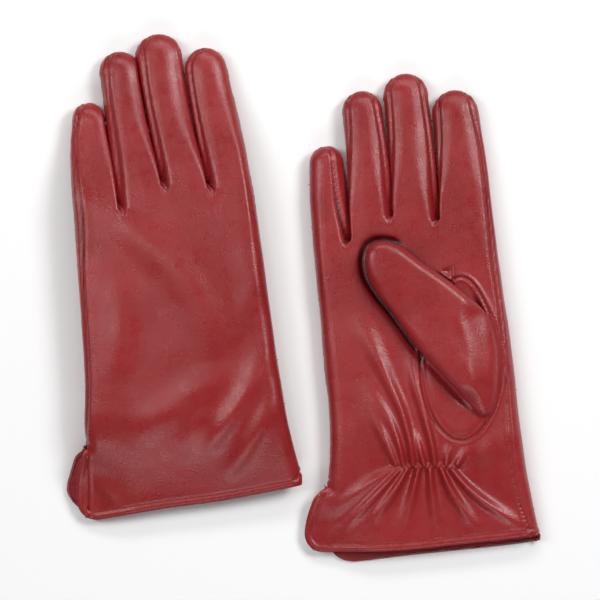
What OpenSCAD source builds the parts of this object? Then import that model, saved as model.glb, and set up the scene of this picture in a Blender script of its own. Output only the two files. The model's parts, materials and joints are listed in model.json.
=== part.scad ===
// A pair of lined leather dress gloves, laid flat: the left one shows its back,
// the right one its palm. Both come from the same modules, in one glove frame:
//   origin  middle of the hem,  +X towards the index finger,  +Y towards the tips,
//   +Z from the palm leather (z = 0) to the back leather (z = glove_t).
// The thumb is folded under the palm, at negative z. The right glove is the
// mirror image of the left one, turned palm up by the same mirror.

/* [Leather and lining] */
// Thickness of the glove from palm leather to back leather
glove_t = 13; // [11:0.5:17]
// Thickness of the leather
leather_t = 1; // [0.8:0.1:1.3]
// Thickness of the knitted lining
lining_t = 0.8; // [0.5:0.1:1.2]
// Room between leather and lining in the hand, for the elastic and the facings
facing_gap = 0.9; // [0.8:0.1:1.5]
// Room between leather and lining in fingers and thumb
lining_gap = 0.2; // [0.1:0.1:0.5]

/* [Hand] */
// Width across the glove where the fingers begin
palm_w = 91; // [76:1:110]
// Height of the finger roots above the hem
palm_l = 158; // [132:1:190]
// Height of the side vent's top end above the hem
vent_l = 30; // [25:1:38]
// Width of the turned-in facing along hem and vent
facing_w = 8; // [6:0.5:10]
// How much flatter the glove is at the hem than at the palm
cuff_taper = 3; // [1:0.5:4]
// How far the back's hem hangs below the palm's
back_drop = 5; // [2:0.5:7]
// How far the palm's hem flares out past the side at the vent
vent_flare = 10; // [6:0.5:12]

/* [Fingers] */
// Length of the middle finger from its root to its tip
middle_l = 74; // [62:1:89]
// Width of the middle finger at its root
middle_w = 22; // [18:0.5:22.5]
// Clearance between a finger's solids and the hand
root_gap = 0.4; // [0.3:0.1:0.8]

/* [Thumb] */
// Thickness of the folded thumb
thumb_t = 9; // [7.5:0.5:11]
// Radius of the thumb's tip
thumb_r = 13.8; // [11.5:0.1:16]
// Gap between the folded thumb and the palm leather
thumb_gap = 1; // [0.9:0.1:1.6]
// Distance of the thumb's fold line from the glove's middle line
thumb_x = 34; // [32:0.5:36]
// Half width of the oval opening that the thumb is sewn into
oval_rx = 20; // [16:0.5:22]
// Half length of that opening
oval_ry = 40; // [34:0.5:44]

/* [Elastic] */
// Length of the gathering elastic
elastic_l = 52; // [43:1:62]
// Width of the elastic
elastic_w = 7; // [6:0.5:8.5]
// Thickness of the elastic
elastic_t = 0.7; // [0.5:0.05:0.75]
// Height of the elastic above the hem
elastic_y = 37; // [32:1:42]

/* [Pair] */
// Gap between the two gloves where they come closest
pair_gap = 2; // [1:0.5:40]
// How much higher on the surface the left glove lies
pair_step = 20; // [0:1:40]

/* [Hidden] */

leather_colour = "firebrick";
gusset_colour = "brown";
lining_colour = "darkred";
elastic_colour = "whitesmoke";

// Indices into the finger table, from the little finger to the index finger.
pinky = 0;
ring = 1;
middle = 2;
index = 3;

// The drafted glove's sizes, and how much wider or longer this one is.
drafted_palm_w = 91;
drafted_palm_l = 158;
drafted_middle_l = 74;
drafted_middle_w = 22;
palm_k = palm_w / drafted_palm_w;
length_k = palm_l / drafted_palm_l;
finger_k = middle_l / drafted_middle_l;
width_k = middle_w / drafted_middle_w;
w = leather_t;

// Each finger: root centre [x, y], lean in degrees, length, root width, tip width.
FINGERS = [
    [[-45.6 * palm_k, palm_l - 7], 2.1, 50 * finger_k, 21 * width_k, 16 * width_k],
    [[-24.3 * palm_k, palm_l], 5.9, 70 * finger_k, 20.3 * width_k, 17.6 * width_k],
    [[-2.3 * palm_k, palm_l + 4], 7.0, middle_l, middle_w, 19.6 * width_k],
    [[21.5 * palm_k, palm_l + 3], 7.6, 67 * finger_k, 24 * width_k, 20.6 * width_k]
];
function root_at(f) = FINGERS[f][0];
function lean(f) = FINGERS[f][1];
function finger_l(f) = FINGERS[f][2];
function root_w(f) = FINGERS[f][3];
function tip_w(f) = FINGERS[f][4];

// The left glove lies over its own thumb, so its cuff and fingers slope down by
// this much from the raised palm. The right glove lies on its back, flat.
thumb_room = thumb_t + thumb_gap;
ramp_y = 50 * length_k;
hem_y = -back_drop - 1;
function droop(side) = side == "left" ? thumb_room : 0;
// How far a face has moved by the hem; heights under half the thickness go with the palm.
function end_shift(z, side) =
    z < glove_t / 2 ? (side == "left" ? -droop(side) : cuff_taper)
                    : (side == "left" ? -droop(side) - cuff_taper : 0);
function finger_pitch(f, side) = asin(droop(side) / finger_l(f));

// How much the hem rises from the vent to the index side.
function hem_rise(side) = side == "left" ? 18 : 9;

// The two long edges of the hand, from the finger roots down to the vent or hem.
pinky_side = 57 * palm_k;
wrist_side = 48.5 * palm_k;
hem_side = 58 * palm_k;
function pinky_edge(inset) = [
    for (p = [[-pinky_side, palm_l - 8], [-53.5 * palm_k, 0.76 * palm_l], [-50.5 * palm_k, 0.57 * palm_l],
              [-wrist_side, vent_l + 20]])
        p + [inset, 0]
];
function index_hem(side) = [hem_side, hem_rise(side) - back_drop];
function index_cuff(side) = [54 * palm_k, hem_rise(side) + 12];
function index_edge(inset, side, lift = 0) = [
    for (p = [index_hem(side) + lift / (12 + back_drop) * (index_cuff(side) - index_hem(side)),
              index_cuff(side), [50.5 * palm_k, ramp_y - 6], [47.5 * palm_k, 0.39 * palm_l],
              [43.8 * palm_k, 0.57 * palm_l], [39.5 * palm_k, 0.76 * palm_l], [34.4 * palm_k, palm_l + 1]])
        p - [inset, 0]
];

// The lower corner beside the vent: the palm flares out, the back hangs lower.
vent_top = vent_l + 2;
back_bulge = 5;
function palm_corner(inset) = [
    [-wrist_side + inset, vent_top],
    for (p = [[0.2, 0.85], [0.75, 0.65], [1.1, 0.35], [1.0, 0.12], [0.6, 0]])
        [-wrist_side - vent_flare * p[0] + inset, vent_l * p[1] + inset * (1 - p[1])]
];
function back_corner(inset) = [
    [-wrist_side + inset, vent_top],
    for (p = [[0.7, 0.8], [1, 0.4], [0.7, 0.12], [0.1, 0]])
        let (y = (vent_l + back_drop) * p[1] - back_drop)
            [-wrist_side - back_bulge * p[0] + inset, y + inset * (1 - p[1])]
];
vent_side = wrist_side + 1.1 * vent_flare;

// The end of the hand at the finger roots: one straight piece for each finger.
function root_end(f, across) = root_at(f) + across * root_w(f) / 2 * [cos(lean(f)), sin(lean(f))];
function is_outer(f, across) = f == index && across == 1 || f == pinky && across == -1;
function root_line(inset) = [
    for (f = [index, middle, ring, pinky])
        for (across = [1, -1])
            root_end(f, across) - [is_outer(f, across) ? across * inset : 0, root_gap]
];

// Outline of one face of the hand, inset from its sides, as a list of points.
function hand_outline(inset, side, face) = concat(
    pinky_edge(inset),
    face == "palm" ? palm_corner(inset) : back_corner(inset),
    index_edge(inset, side, face == "palm" ? back_drop / 2 : 0),
    root_line(inset)
);

// A slab between two heights whose faces follow the glove's slopes towards the hem.
module slab(low, high, side) {
    near = 3 * hem_y;
    far = palm_l + middle_l;
    run = (ramp_y - near) / (ramp_y - hem_y);
    reach = 2 * palm_w;
    translate([-reach / 2, 0, 0])
        rotate([90, 0, 90])
            linear_extrude(height = reach)
                polygon([[near, low + run * end_shift(low, side)], [ramp_y, low], [far, low],
                         [far, high], [ramp_y, high], [near, high + run * end_shift(high, side)]]);
}

// A plate of the hand between two heights, cut to an outline.
module hand_plate(points, low, high, side) {
    intersection() {
        linear_extrude(height = 6 * glove_t, center = true)
            polygon(points);
        slab(low, high, side);
    }
}

// The oval that the thumb is sewn into, and the passage through it to the thumb.
oval_centre = [17.5 * palm_k, 0.6 * palm_l];
oval_points = 40;
function oval(rx, ry, shift) = [
    for (i = [0 : oval_points - 1])
        let (a = i * 360 / oval_points)
            oval_centre + shift + [rx * cos(a), ry * sin(a)]
];
passage_rx = 0.55 * oval_rx;
passage_ry = 0.72 * oval_ry;
passage_shift = [0.3 * oval_rx, 0.1 * oval_ry];

// Back leather: the back of the hand, wrapped round the index side.
module back_leather(side) {
    inner = index_edge(w, side);
    outer = index_edge(0, side);
    face = [
        for (p = hand_outline(0, side, "back"))
            p[0] < -wrist_side / 2 && p[1] >= vent_top ? p + [w, 0] : p
    ];
    color(leather_colour) {
        hand_plate(face, glove_t - w, glove_t, side);
        hand_plate(concat(inner, reversed(outer)), 0, glove_t - w, side);
    }
}
function reversed(points) = [for (i = [len(points) - 1 : -1 : 0]) points[i]];

// Palm leather: the palm, wrapped round the pinky side, with the thumb's oval.
module palm_leather(side) {
    outer = concat(pinky_edge(0), [palm_corner(0)[0]]);
    inner = concat(pinky_edge(w), [palm_corner(w)[0]]);
    face = [for (p = hand_outline(0, side, "palm")) p[0] > wrist_side / 2 ? p - [w, 0] : p];
    color(leather_colour) {
        difference() {
            hand_plate(face, 0, w, side);
            linear_extrude(height = 4 * w, center = true)
                polygon(oval(oval_rx, oval_ry, [0, 0]));
        }
        hand_plate(concat(outer, reversed(inner)), w, glove_t, side);
    }
}

// Thumb gusset: the part of the thumb leather that lies in the oval.
module thumb_gusset(side) {
    color(gusset_colour)
        linear_extrude(height = w)
            difference() {
                polygon(oval(oval_rx, oval_ry, [0, 0]));
                polygon(oval(passage_rx, passage_ry, passage_shift));
            }
}

// Quirk: the small triangle sewn over the upper end of the oval seam.
quirk_t = 0.8;
module quirk(side) {
    color(gusset_colour)
        translate([oval_centre[0] - 2, oval_centre[1] + oval_ry + 2, -quirk_t])
            linear_extrude(height = quirk_t)
                polygon([[-5, -3], [3, -6], [4, 4]]);
}

// Hand lining: a knitted sleeve, open at the cuff, the fingers and the thumb.
lining_past = 2;
module hand_lining(side) {
    out = w + facing_gap;
    in = out + lining_t;
    color(lining_colour)
        difference() {
            hand_plate(lining_outline(out, side, 0), out, glove_t - out, side);
            hand_plate(lining_outline(in, side, lining_past), in, glove_t - in, side);
            translate([0, 0, out - lining_t])
                linear_extrude(height = 2.5 * lining_t)
                    polygon(oval(passage_rx, passage_ry, passage_shift));
        }
}
function lining_outline(inset, side, past) = concat(
    [for (p = pinky_edge(inset)) p[1] > 0.87 * palm_l ? p + [0, past] : p],
    [[-wrist_side + 1 + inset, vent_top], [-wrist_side + 1 + inset, facing_w - past]],
    [[hem_side - 5 * palm_k - inset, facing_w + hem_rise(side) / 2 - past]],
    [for (p = index_edge(inset, side)) if (p[1] > ramp_y - 7) p],
    [for (p = root_line(inset)) p + [0, past]]
);

// Wrist elastic: sewn inside the palm leather, it gathers the wrist.
module wrist_elastic(side) {
    color(elastic_colour)
        hand_plate([[-elastic_l / 2, elastic_y], [elastic_l / 2, elastic_y + 1],
                    [elastic_l / 2, elastic_y + 1 + elastic_w], [-elastic_l / 2, elastic_y + elastic_w]],
                   w, w + elastic_t, side);
}

// Facings: the leather turned in along the hem and up the vent, one on each face.
facing_t = 0.7;
facing_clear = 0.2;
module facing(side, face) {
    low = face == "palm" ? w : glove_t - w - facing_t;
    inner_x = -wrist_side + facing_w;
    color(leather_colour)
        difference() {
            hand_plate(hand_outline(w + facing_clear, side, face), low, low + facing_t, side);
            linear_extrude(height = 6 * glove_t, center = true)
                polygon([[inner_x, vent_l], [-palm_w, vent_l], [-palm_w, 2 * palm_l], [palm_w, 2 * palm_l],
                         [palm_w, facing_w + hem_rise(side) - back_drop / 2],
                         [inner_x, facing_w - (face == "palm" ? 0 : back_drop)]]);
        }
}

// Outline of a finger in its own frame: root at y = 0, round tip.
function finger_outline(f, inset, from = 0) = concat(
    [[root_w(f) / 2 - inset, from]],
    [for (a = [0 : 15 : 180]) finger_tip(f) + (tip_w(f) / 2 - inset) * [cos(a), sin(a)]],
    [[-root_w(f) / 2 + inset, from]]
);
function finger_tip(f) = [0, finger_l(f) - tip_w(f) / 2];

// Puts a finger's own frame at its root. It pitches about the palm leather.
module at_finger(f, side) {
    translate([root_at(f)[0], root_at(f)[1], 0])
        rotate([0, 0, lean(f)])
            rotate([-finger_pitch(f, side), 0, 0])
                children();
}

// Which sides of a finger have a fourchette: -1 the pinky side, 1 the index side.
function fourchette_sides(f) = f == pinky ? [1] : f == index ? [-1] : [-1, 1];

// Finger leather: back and palm faces, joined round the tip and, on the first and
// last finger, round the outer side.
module finger_leather(f, side) {
    wide = root_w(f);
    color(leather_colour)
        at_finger(f, side)
            difference() {
                linear_extrude(height = glove_t)
                    polygon(finger_outline(f, 0, root_gap));
                translate([0, 0, w])
                    linear_extrude(height = glove_t - 2 * w)
                        union() {
                            polygon(finger_outline(f, w, -1));
                            for (s = fourchette_sides(f))
                                translate([s > 0 ? 0 : -wide, -1])
                                    square([wide, finger_tip(f)[1] + 1]);
                        }
            }
}

// Fourchettes: the narrow strips that form the sides of the fingers.
module finger_fourchettes(f, side) {
    root = root_w(f) / 2;
    tip = tip_w(f) / 2;
    tip_end = finger_tip(f)[1];
    color(gusset_colour)
        at_finger(f, side)
            for (s = fourchette_sides(f))
                translate([0, 0, w])
                    linear_extrude(height = glove_t - 2 * w)
                        polygon([[s * (root - w), root_gap], [s * root, root_gap],
                                 [s * tip, tip_end], [s * (tip - w), tip_end]]);
}

// Finger lining: a knitted pocket inside the finger.
module finger_lining(f, side) {
    out = w + lining_gap;
    in = out + lining_t;
    color(lining_colour)
        at_finger(f, side)
            difference() {
                translate([0, 0, out])
                    linear_extrude(height = glove_t - 2 * out)
                        polygon(finger_outline(f, out, root_gap));
                translate([0, 0, in])
                    linear_extrude(height = glove_t - 2 * in)
                        polygon(finger_outline(f, in, -1));
            }
}

// Outline of the folded thumb: round tip, straight edges, open along the fold.
thumb_tip = [-17.5 * palm_k, 0.88 * palm_l];
function thumb_outline(inset, open = 0) = concat(
    [for (a = [52 : 12 : 220]) thumb_tip + (thumb_r - inset) * [cos(a), sin(a)]],
    [[thumb_x - 4 - inset * 0.2, 0.415 * palm_l + inset * 1.4],
     [thumb_x + open, 0.455 * palm_l + inset],
     [thumb_x + open, 0.7 * palm_l - inset],
     [thumb_x - 5, 0.745 * palm_l - inset * 1.2]]
);

// Thumb leather: a pocket whose open side lies along the fold.
module thumb_leather(side) {
    color(leather_colour)
        translate([0, 0, -thumb_room])
            difference() {
                linear_extrude(height = thumb_t)
                    polygon(thumb_outline(0));
                translate([0, 0, w])
                    linear_extrude(height = thumb_t - 2 * w)
                        polygon(thumb_outline(w, 5));
            }
}

// Thumb lining: the knitted pocket inside it.
module thumb_lining(side) {
    out = w + lining_gap;
    in = out + lining_t;
    color(lining_colour)
        translate([0, 0, -thumb_room])
            difference() {
                translate([0, 0, out])
                    linear_extrude(height = thumb_t - 2 * out)
                        polygon(thumb_outline(out));
                translate([0, 0, in])
                    linear_extrude(height = thumb_t - 2 * in)
                        polygon(thumb_outline(in, 5));
            }
}

// Places a glove: the left one back up, the right one palm up, and both together
// centred on the origin.
west = max(vent_side, pinky_side);
middle_pitch = finger_pitch(middle, "left");
tip_y = cos(lean(middle)) * (finger_tip(middle)[1] * cos(middle_pitch) + glove_t * sin(middle_pitch))
        + tip_w(middle) / 2 * norm([cos(middle_pitch) * cos(lean(middle)), sin(lean(middle))]);
left_x = -hem_side - pair_gap / 2;
right_x = west + pair_gap / 2;
right_y = (back_drop - root_at(middle)[1] - tip_y - pair_step) / 2;
left_at = [left_x, right_y + pair_step, thumb_room];
right_at = [right_x, right_y, glove_t];
module place(side) {
    if (side == "left")
        translate(left_at)
            children();
    else
        translate(right_at)
            mirror([0, 0, 1])
                children();
}

place("left") back_leather("left");  // left_back_leather
place("left") palm_leather("left");  // left_palm_leather
place("left") thumb_gusset("left");  // left_thumb_gusset
place("left") quirk("left");  // left_quirk
place("left") hand_lining("left");  // left_hand_lining
place("left") wrist_elastic("left");  // left_wrist_elastic
place("left") facing("left", "back");  // left_back_facing
place("left") facing("left", "palm");  // left_palm_facing
place("left") thumb_leather("left");  // left_thumb_leather
place("left") thumb_lining("left");  // left_thumb_lining
place("left") finger_leather(pinky, "left");  // left_pinky_leather
place("left") finger_fourchettes(pinky, "left");  // left_pinky_fourchettes
place("left") finger_lining(pinky, "left");  // left_pinky_lining
place("left") finger_leather(ring, "left");  // left_ring_leather
place("left") finger_fourchettes(ring, "left");  // left_ring_fourchettes
place("left") finger_lining(ring, "left");  // left_ring_lining
place("left") finger_leather(middle, "left");  // left_middle_leather
place("left") finger_fourchettes(middle, "left");  // left_middle_fourchettes
place("left") finger_lining(middle, "left");  // left_middle_lining
place("left") finger_leather(index, "left");  // left_index_leather
place("left") finger_fourchettes(index, "left");  // left_index_fourchettes
place("left") finger_lining(index, "left");  // left_index_lining
place("right") back_leather("right");  // right_back_leather
place("right") palm_leather("right");  // right_palm_leather
place("right") thumb_gusset("right");  // right_thumb_gusset
place("right") quirk("right");  // right_quirk
place("right") hand_lining("right");  // right_hand_lining
place("right") wrist_elastic("right");  // right_wrist_elastic
place("right") facing("right", "back");  // right_back_facing
place("right") facing("right", "palm");  // right_palm_facing
place("right") thumb_leather("right");  // right_thumb_leather
place("right") thumb_lining("right");  // right_thumb_lining
place("right") finger_leather(pinky, "right");  // right_pinky_leather
place("right") finger_fourchettes(pinky, "right");  // right_pinky_fourchettes
place("right") finger_lining(pinky, "right");  // right_pinky_lining
place("right") finger_leather(ring, "right");  // right_ring_leather
place("right") finger_fourchettes(ring, "right");  // right_ring_fourchettes
place("right") finger_lining(ring, "right");  // right_ring_lining
place("right") finger_leather(middle, "right");  // right_middle_leather
place("right") finger_fourchettes(middle, "right");  // right_middle_fourchettes
place("right") finger_lining(middle, "right");  // right_middle_lining
place("right") finger_leather(index, "right");  // right_index_leather
place("right") finger_fourchettes(index, "right");  // right_index_fourchettes
place("right") finger_lining(index, "right");  // right_index_lining
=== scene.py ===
"""A pair of lined leather dress gloves, laid flat: the left one back up, the right one palm up.

Each glove is drafted flat, in millimetres, in its own frame: x towards the index finger, y
towards the fingertips, z from the palm leather (0) to the back leather (13). A back and a
palm skin are rounded off that draft, joined at their outline, cut along the seams and given
folds, seams and thickness. The right glove is the mirror image, turned palm up.
"""

import functools
import json
import math

import bpy
import numpy as np
from bpy.props import FloatProperty, FloatVectorProperty, PointerProperty
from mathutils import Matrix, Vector, noise
from mathutils.bvhtree import BVHTree


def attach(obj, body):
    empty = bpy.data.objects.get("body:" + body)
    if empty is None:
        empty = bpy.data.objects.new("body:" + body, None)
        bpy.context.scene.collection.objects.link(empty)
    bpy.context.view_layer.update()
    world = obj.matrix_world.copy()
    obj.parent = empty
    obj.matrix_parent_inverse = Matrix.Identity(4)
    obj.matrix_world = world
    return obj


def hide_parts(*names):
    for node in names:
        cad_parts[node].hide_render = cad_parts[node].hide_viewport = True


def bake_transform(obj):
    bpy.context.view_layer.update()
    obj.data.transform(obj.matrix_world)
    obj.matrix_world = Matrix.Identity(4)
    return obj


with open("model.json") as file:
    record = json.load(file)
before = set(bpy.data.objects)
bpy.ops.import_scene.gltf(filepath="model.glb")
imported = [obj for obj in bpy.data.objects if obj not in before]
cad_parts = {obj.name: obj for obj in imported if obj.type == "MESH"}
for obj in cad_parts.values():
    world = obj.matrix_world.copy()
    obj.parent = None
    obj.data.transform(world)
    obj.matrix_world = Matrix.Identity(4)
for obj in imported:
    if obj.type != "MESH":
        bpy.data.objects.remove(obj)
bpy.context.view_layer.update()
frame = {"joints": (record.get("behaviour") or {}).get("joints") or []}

bl_info = {
    "name": "Leather Dress Gloves",
    "version": (1, 0, 0),
    "blender": (4, 5, 0),
    "location": "View3D > Sidebar > Gloves",
    "description": "Builds a pair of lined leather gloves around their packed frame",
    "category": "Object",
}

MM = 0.001
TILE = 9.0  # mm, side of the squares that points are looked up in
SIDES = ("left", "right")
FINGERS = ("pinky", "ring", "middle", "index")
BACK, PALM = 1, -1
FACE_NAMES = {BACK: "back", PALM: "palm"}
JOINTS = {joint["name"]: joint for joint in frame["joints"]}

# ---------------------------------------------------------------- the flat draft, in mm

GLOVE_T = 13.0  # palm leather to back leather
THUMB_ROOM = 10.0  # how far the left glove's palm is lifted by its thumb
CLEAR = 0.1  # the leather's distance from the floor
MIDDLE_ROOT = (-2.3, 162.0)  # the middle finger's hinge in the glove's own frame
RAMP_Y = 50.0  # where the left cuff starts to slope down
VENT_TOP = (-48.7, 31.0)

# Where two fingers part, at mid thickness
CROTCHES = ((-35.0, 150.0), (-13.8, 162.0), (9.1, 160.5))
SLIT_HALF = 0.95  # half width of a slit in the draft; the skins close it again
SLIT_OPEN = 0.2  # half of what stays open
CROTCH_SHEAR = 5.2  # how far a crotch slants to each side between back and palm
CROTCH_STEP = 2.8  # how much nearer the tips it is on the palm

# Fingertips: centre x, centre y, radius
TIPS = {
    "left": ((-48.3, 193.8, 8.3), (-33.0, 217.5, 10.0), (-13.4, 224.5, 11.6), (10.2, 219.2, 10.4)),
    "right": ((-49.3, 191.8, 8.7), (-31.3, 217.6, 10.0), (-9.6, 225.3, 11.4), (14.8, 216.6, 11.8)),
}
PINKY_SIDE = {
    "left": (
        VENT_TOP, (-49.3, 45), (-49.2, 60), (-50.7, 90), (-53.4, 120), (-55.6, 150), (-57.3, 175)),
    "right": (
        VENT_TOP, (-47.6, 45), (-47.6, 62), (-50.2, 92), (-53.2, 122), (-56.2, 152), (-58.0, 175)),
}
INDEX_SIDE = {
    "left": (
        (30.4, 179), (33.6, 159), (35.2, 148), (39.4, 120), (43.6, 90), (48.3, 60), (51.6, 41),
        (55.9, 23), (58.6, 12), (60.5, 2), (63, -14)),
    "right": (
        (31.8, 181), (34.6, 159), (35.6, 150), (39.8, 121), (44.0, 91), (47.2, 61), (49.6, 43),
        (53.3, 25), (56.9, 8), (59.5, -3), (63, -14)),
}
# The free edge of each face, from the index side along the hem to the vent's top
FREE_EDGE = {
    ("left", BACK): (
        (57.8, 15), (57.2, 12.4), (52.5, 10.8), (20, 4.4), (-13, -0.2), (-40, -4.9), (-45, -5.5),
        (-49.5, -4.4), (-52.9, -0.8), (-54.5, 5), (-54.2, 14), (-52.4, 23), (-50.2, 29), VENT_TOP),
    ("left", PALM): (
        (57.0, 18.5), (52, 15.2), (20, 8.4), (-13, 4.2), (-40, 0), (-51, -0.4),
        (-55.6, 2.2), (-58.9, 7), (-59.4, 11.5), (-57.6, 18), (-55, 26), (-52.5, 28.4), VENT_TOP),
    ("right", PALM): (
        (56.3, 7.6), (52, 6.3), (20, 2.8), (-12.8, -0.6), (-40, -1.4), (-53.5, -1.4),
        (-57.3, 0.8), (-59.6, 4.2), (-60.2, 8.7), (-58.6, 17), (-55.4, 25.6), (-52, 29.3), VENT_TOP),
    ("right", BACK): (
        (57.8, 5.2), (54, 3.4), (28.7, 0.2), (-4.5, -3.2), (-31, -6.4), (-38, -6.6),
        (-43, -5), (-46.8, -1), (-48.6, 6), (-49.3, 17), (-49.2, 26), VENT_TOP),
}

# Seams: how far inside the finger's edge each panel's seam runs
BACK_SEAM = {"pinky": (3.6, 0.9), "ring": (4.2, 0.9), "middle": (4.2, 0.9), "index": (2.8, -6.0)}
PALM_SEAM = {"pinky": (-6.0, 4.6), "ring": (2.8, 4.4), "middle": (2.9, 4.4), "index": (3.4, 4.6)}

# The oval that the thumb is sewn into, and the thumb folded over the palm
OVAL_CENTRE, OVAL_RX, OVAL_RY = (17.5, 94.8), 20.3, 40.5
OVAL_PULL = 3.2  # how far the quirk draws the oval in
THUMB_LEAF = (
    (-21.5, 153.2), (-28.0, 150.8), (-30.4, 144.5), (-28.8, 135), (-23.5, 126), (-16.5, 117.2),
    (-5.5, 101.5), (4.5, 90.6), (18.5, 75.5), (25, 68.6), (28.6, 66.6), (31.4, 68.2), (33.3, 75),
    (34.8, 84), (34.9, 94), (32.8, 108), (29, 118), (18.5, 127.6), (9, 135), (-2.5, 143), (-13, 150.6))
# Where the thumb joins the oval: round its lower corner and up its index side
THUMB_BASE = (
    (23.5, 69.6), (26.5, 67.2), (29.6, 66.7), (32.0, 69.4), (33.8, 77), (34.9, 88), (34.6, 98),
    (33.0, 107), (30.0, 116.5))
# The thumb's free side, from its tip's top round to its base
THUMB_FREE = (
    (-17, 153), (-25, 153), (-31, 147), (-30.5, 136), (-24.5, 126), (-17.5, 117), (-6, 101),
    (4, 90), (18, 75))
DENT, DENT_W = 1.5, 2.4  # depth and half width of the palm's dent beside it
THUMB_MID, THUMB_HALF = -5.9, 4.5  # height of the thumb's middle, and half its thickness
THUMB_ROUND = 4.6  # rounding of its outline
THUMB_TAPER = 0.5  # share of its thickness lost at the base
NECK_TOP, NECK_FOOT = -3.2, 0.9  # heights of the neck's two edges
NECK_INNER, NECK_OUTER = -1.2, 2.6  # how far outside the thumb's edge they are
# Soft folds on the thumb: (x, y, height, half width)
THUMB_FOLDS = (
    ((27, 72, 0.1, 3), (22, 84, 0.9, 4.5), (13, 97, 0.8, 6), (2, 110, 0.1, 7)),
    ((31, 78, 0.1, 3), (30.5, 90, 0.7, 4), (26, 104, 0.1, 5)),
    ((-2, 106, 0.1, 5), (-12, 120, -0.5, 6), (-20, 134, 0.1, 6)),
)
SLIVER = 1e-4  # area of a triangle too thin to place anything by
SHORTEST_RUN = 8  # stitches
STITCH_LIFT = 0.1  # share of its thickness
STITCH_SIDE, STITCH_FLAT = 1.2, 0.4  # least distance to the outline, and least upright normal
RUN_GAP = 2.5  # pitches, a wider gap parts two runs
HEM_ROW, SEAM_ROW = 3.6, 0.95  # stitches from the free edge, and from a seam
FACING_WIDTH, FACING_T, FACING_GAP, FACING_CELL = 8.0, 0.7, 0.15, 1.2  # turned-in hem
LINING_START, LINING_CELL = 7.0, 1.8  # from the free edge, and spacing of its points
ELASTIC_W, ELASTIC_H, ELASTIC_T, ELASTIC_DEPTH = 52.0, 7.0, 0.8, 3.4
ELASTIC_GRID, ELASTIC_RIBS, RIB_HEIGHT = (60, 10), 4, 0.15
QUIRK = ((18.3, 140.6), (9.6, 136.4), (17.2, 131.0))  # corners of the triangle beside the thumb
QUIRK_STEPS = 14
QUIRK_LIFT, QUIRK_RIM, QUIRK_SINK = 1.0, 0.6, 0.9  # of the whole, its edge and its middle

# Folds drawn into the wrist by the elastic: (x, y, height, half width) from gather to end
GATHER_Y = 41.2  # the gathering line
GATHER_X = (-17.0, 18.0)  # and its two ends
GATHERS = (
    ((-16.5, 40.4, 1.0, 1.5), (-28, 32.5, 1.1, 3.0), (-42, 22.5, 0.8, 4.5), (-50, 18, 0.2, 6.0)),
    ((-13.4, 39.8, 1.9, 1.3), (-22, 30.5, 1.8, 2.0), (-33, 18.5, 1.3, 2.8), (-43, 8, 0.2, 3.5)),
    ((-9.2, 40.6, 2.2, 1.3), (-15.5, 30, 2.0, 2.1), (-22.5, 20, 1.1, 3.0), (-28, 12, 0.1, 4.0)),
    ((-3.8, 40.6, 2.2, 1.3), (-6.2, 30, 1.9, 2.1), (-8.8, 20, 1.1, 2.8), (-12.5, 9, 0.1, 3.5)),
    ((1.8, 40.6, 2.2, 1.3), (2.6, 30, 1.8, 2.1), (4.2, 20, 1.1, 2.8), (6.5, 9, 0.1, 3.6)),
    ((7.3, 40.8, 2.2, 1.3), (11.5, 31, 2.0, 2.0), (17, 22, 1.4, 2.6), (26, 9.5, 0.1, 3.4)),
    ((12.8, 40.2, 1.8, 1.4), (20, 31.5, 1.8, 2.0), (31, 22.5, 1.5, 2.6), (50, 10, 0.1, 3.6)),
    ((-14.8, 42.4, 1.7, 1.4), (-19.5, 53, 1.3, 2.4), (-25, 66, 0.8, 3.8), (-33, 86, 0.1, 6.0)),
    ((-11.3, 42, 1.9, 1.3), (-13.4, 52, 1.7, 1.8), (-18.2, 65, 1.1, 2.6), (-27, 80, 0.2, 4.5)),
    ((-6.4, 42, 2.1, 1.3), (-8.2, 54, 1.9, 1.8), (-12.4, 69, 1.7, 2.4), (-19.4, 85, 1.4, 3.2),
     (-27, 102, 0.9, 4.6), (-34, 118, 0.1, 6.0)),
    ((-0.9, 41.8, 1.9, 1.2), (-3.2, 50, 1.3, 1.6), (-6.2, 60, 0.1, 2.6)),
    ((4.4, 42, 2.1, 1.3), (2.4, 54, 1.9, 1.8), (-1.4, 68, 1.5, 2.2), (-5.6, 83, 1.1, 2.6),
     (-8, 99, 0.1, 3.4)),
    ((9.9, 42, 1.7, 1.3), (10.6, 48, 0.8, 1.7), (11.6, 53, 0.1, 2.2)),
    ((15.4, 42.4, 1.5, 1.5), (18.5, 47, 0.8, 2.2), (24, 52, 0.1, 3.4)),
    ((24, 42, 0.1, 5.0), (32, 50, 0.7, 6.0), (39, 62, 0.1, 6.0)),
)
# Broad soft folds on the back of the hand
BACK_FOLDS = (
    ((-38, 150, 0.1, 8), (-24, 136, 0.8, 9), (-3, 118, 1.1, 10), (12, 94, 0.8, 10), (14, 74, 0.1, 9)),
    ((10, 28, 0.1, 4), (18, 40, 0.9, 4.5), (30, 58, 1.0, 5), (41, 80, 0.2, 6)),
    ((19, 15, 0.1, 4), (28, 27, 0.8, 4.5), (37, 42, 0.9, 4.5), (44, 57, 0.1, 5)),
    ((-45, 18, 0.1, 4), (-39, 10, 0.6, 4.5), (-32, 3, 0.1, 4)),
    ((-26, 34, 0.1, 7), (-16, 43, 0.7, 8), (-4, 52, 0.6, 8), (10, 62, 0.7, 7), (22, 66, 0.1, 7)),
    ((-36, 62, 0.1, 6), (-32, 90, 0.7, 7), (-36, 118, 0.1, 8)),
    ((0, 28, 0.1, 5), (5, 40, 0.6, 6), (13, 52, 0.1, 6)),
    ((30, 96, 0.1, 6), (34, 112, 0.6, 7), (30, 132, 0.1, 7)),
)

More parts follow.
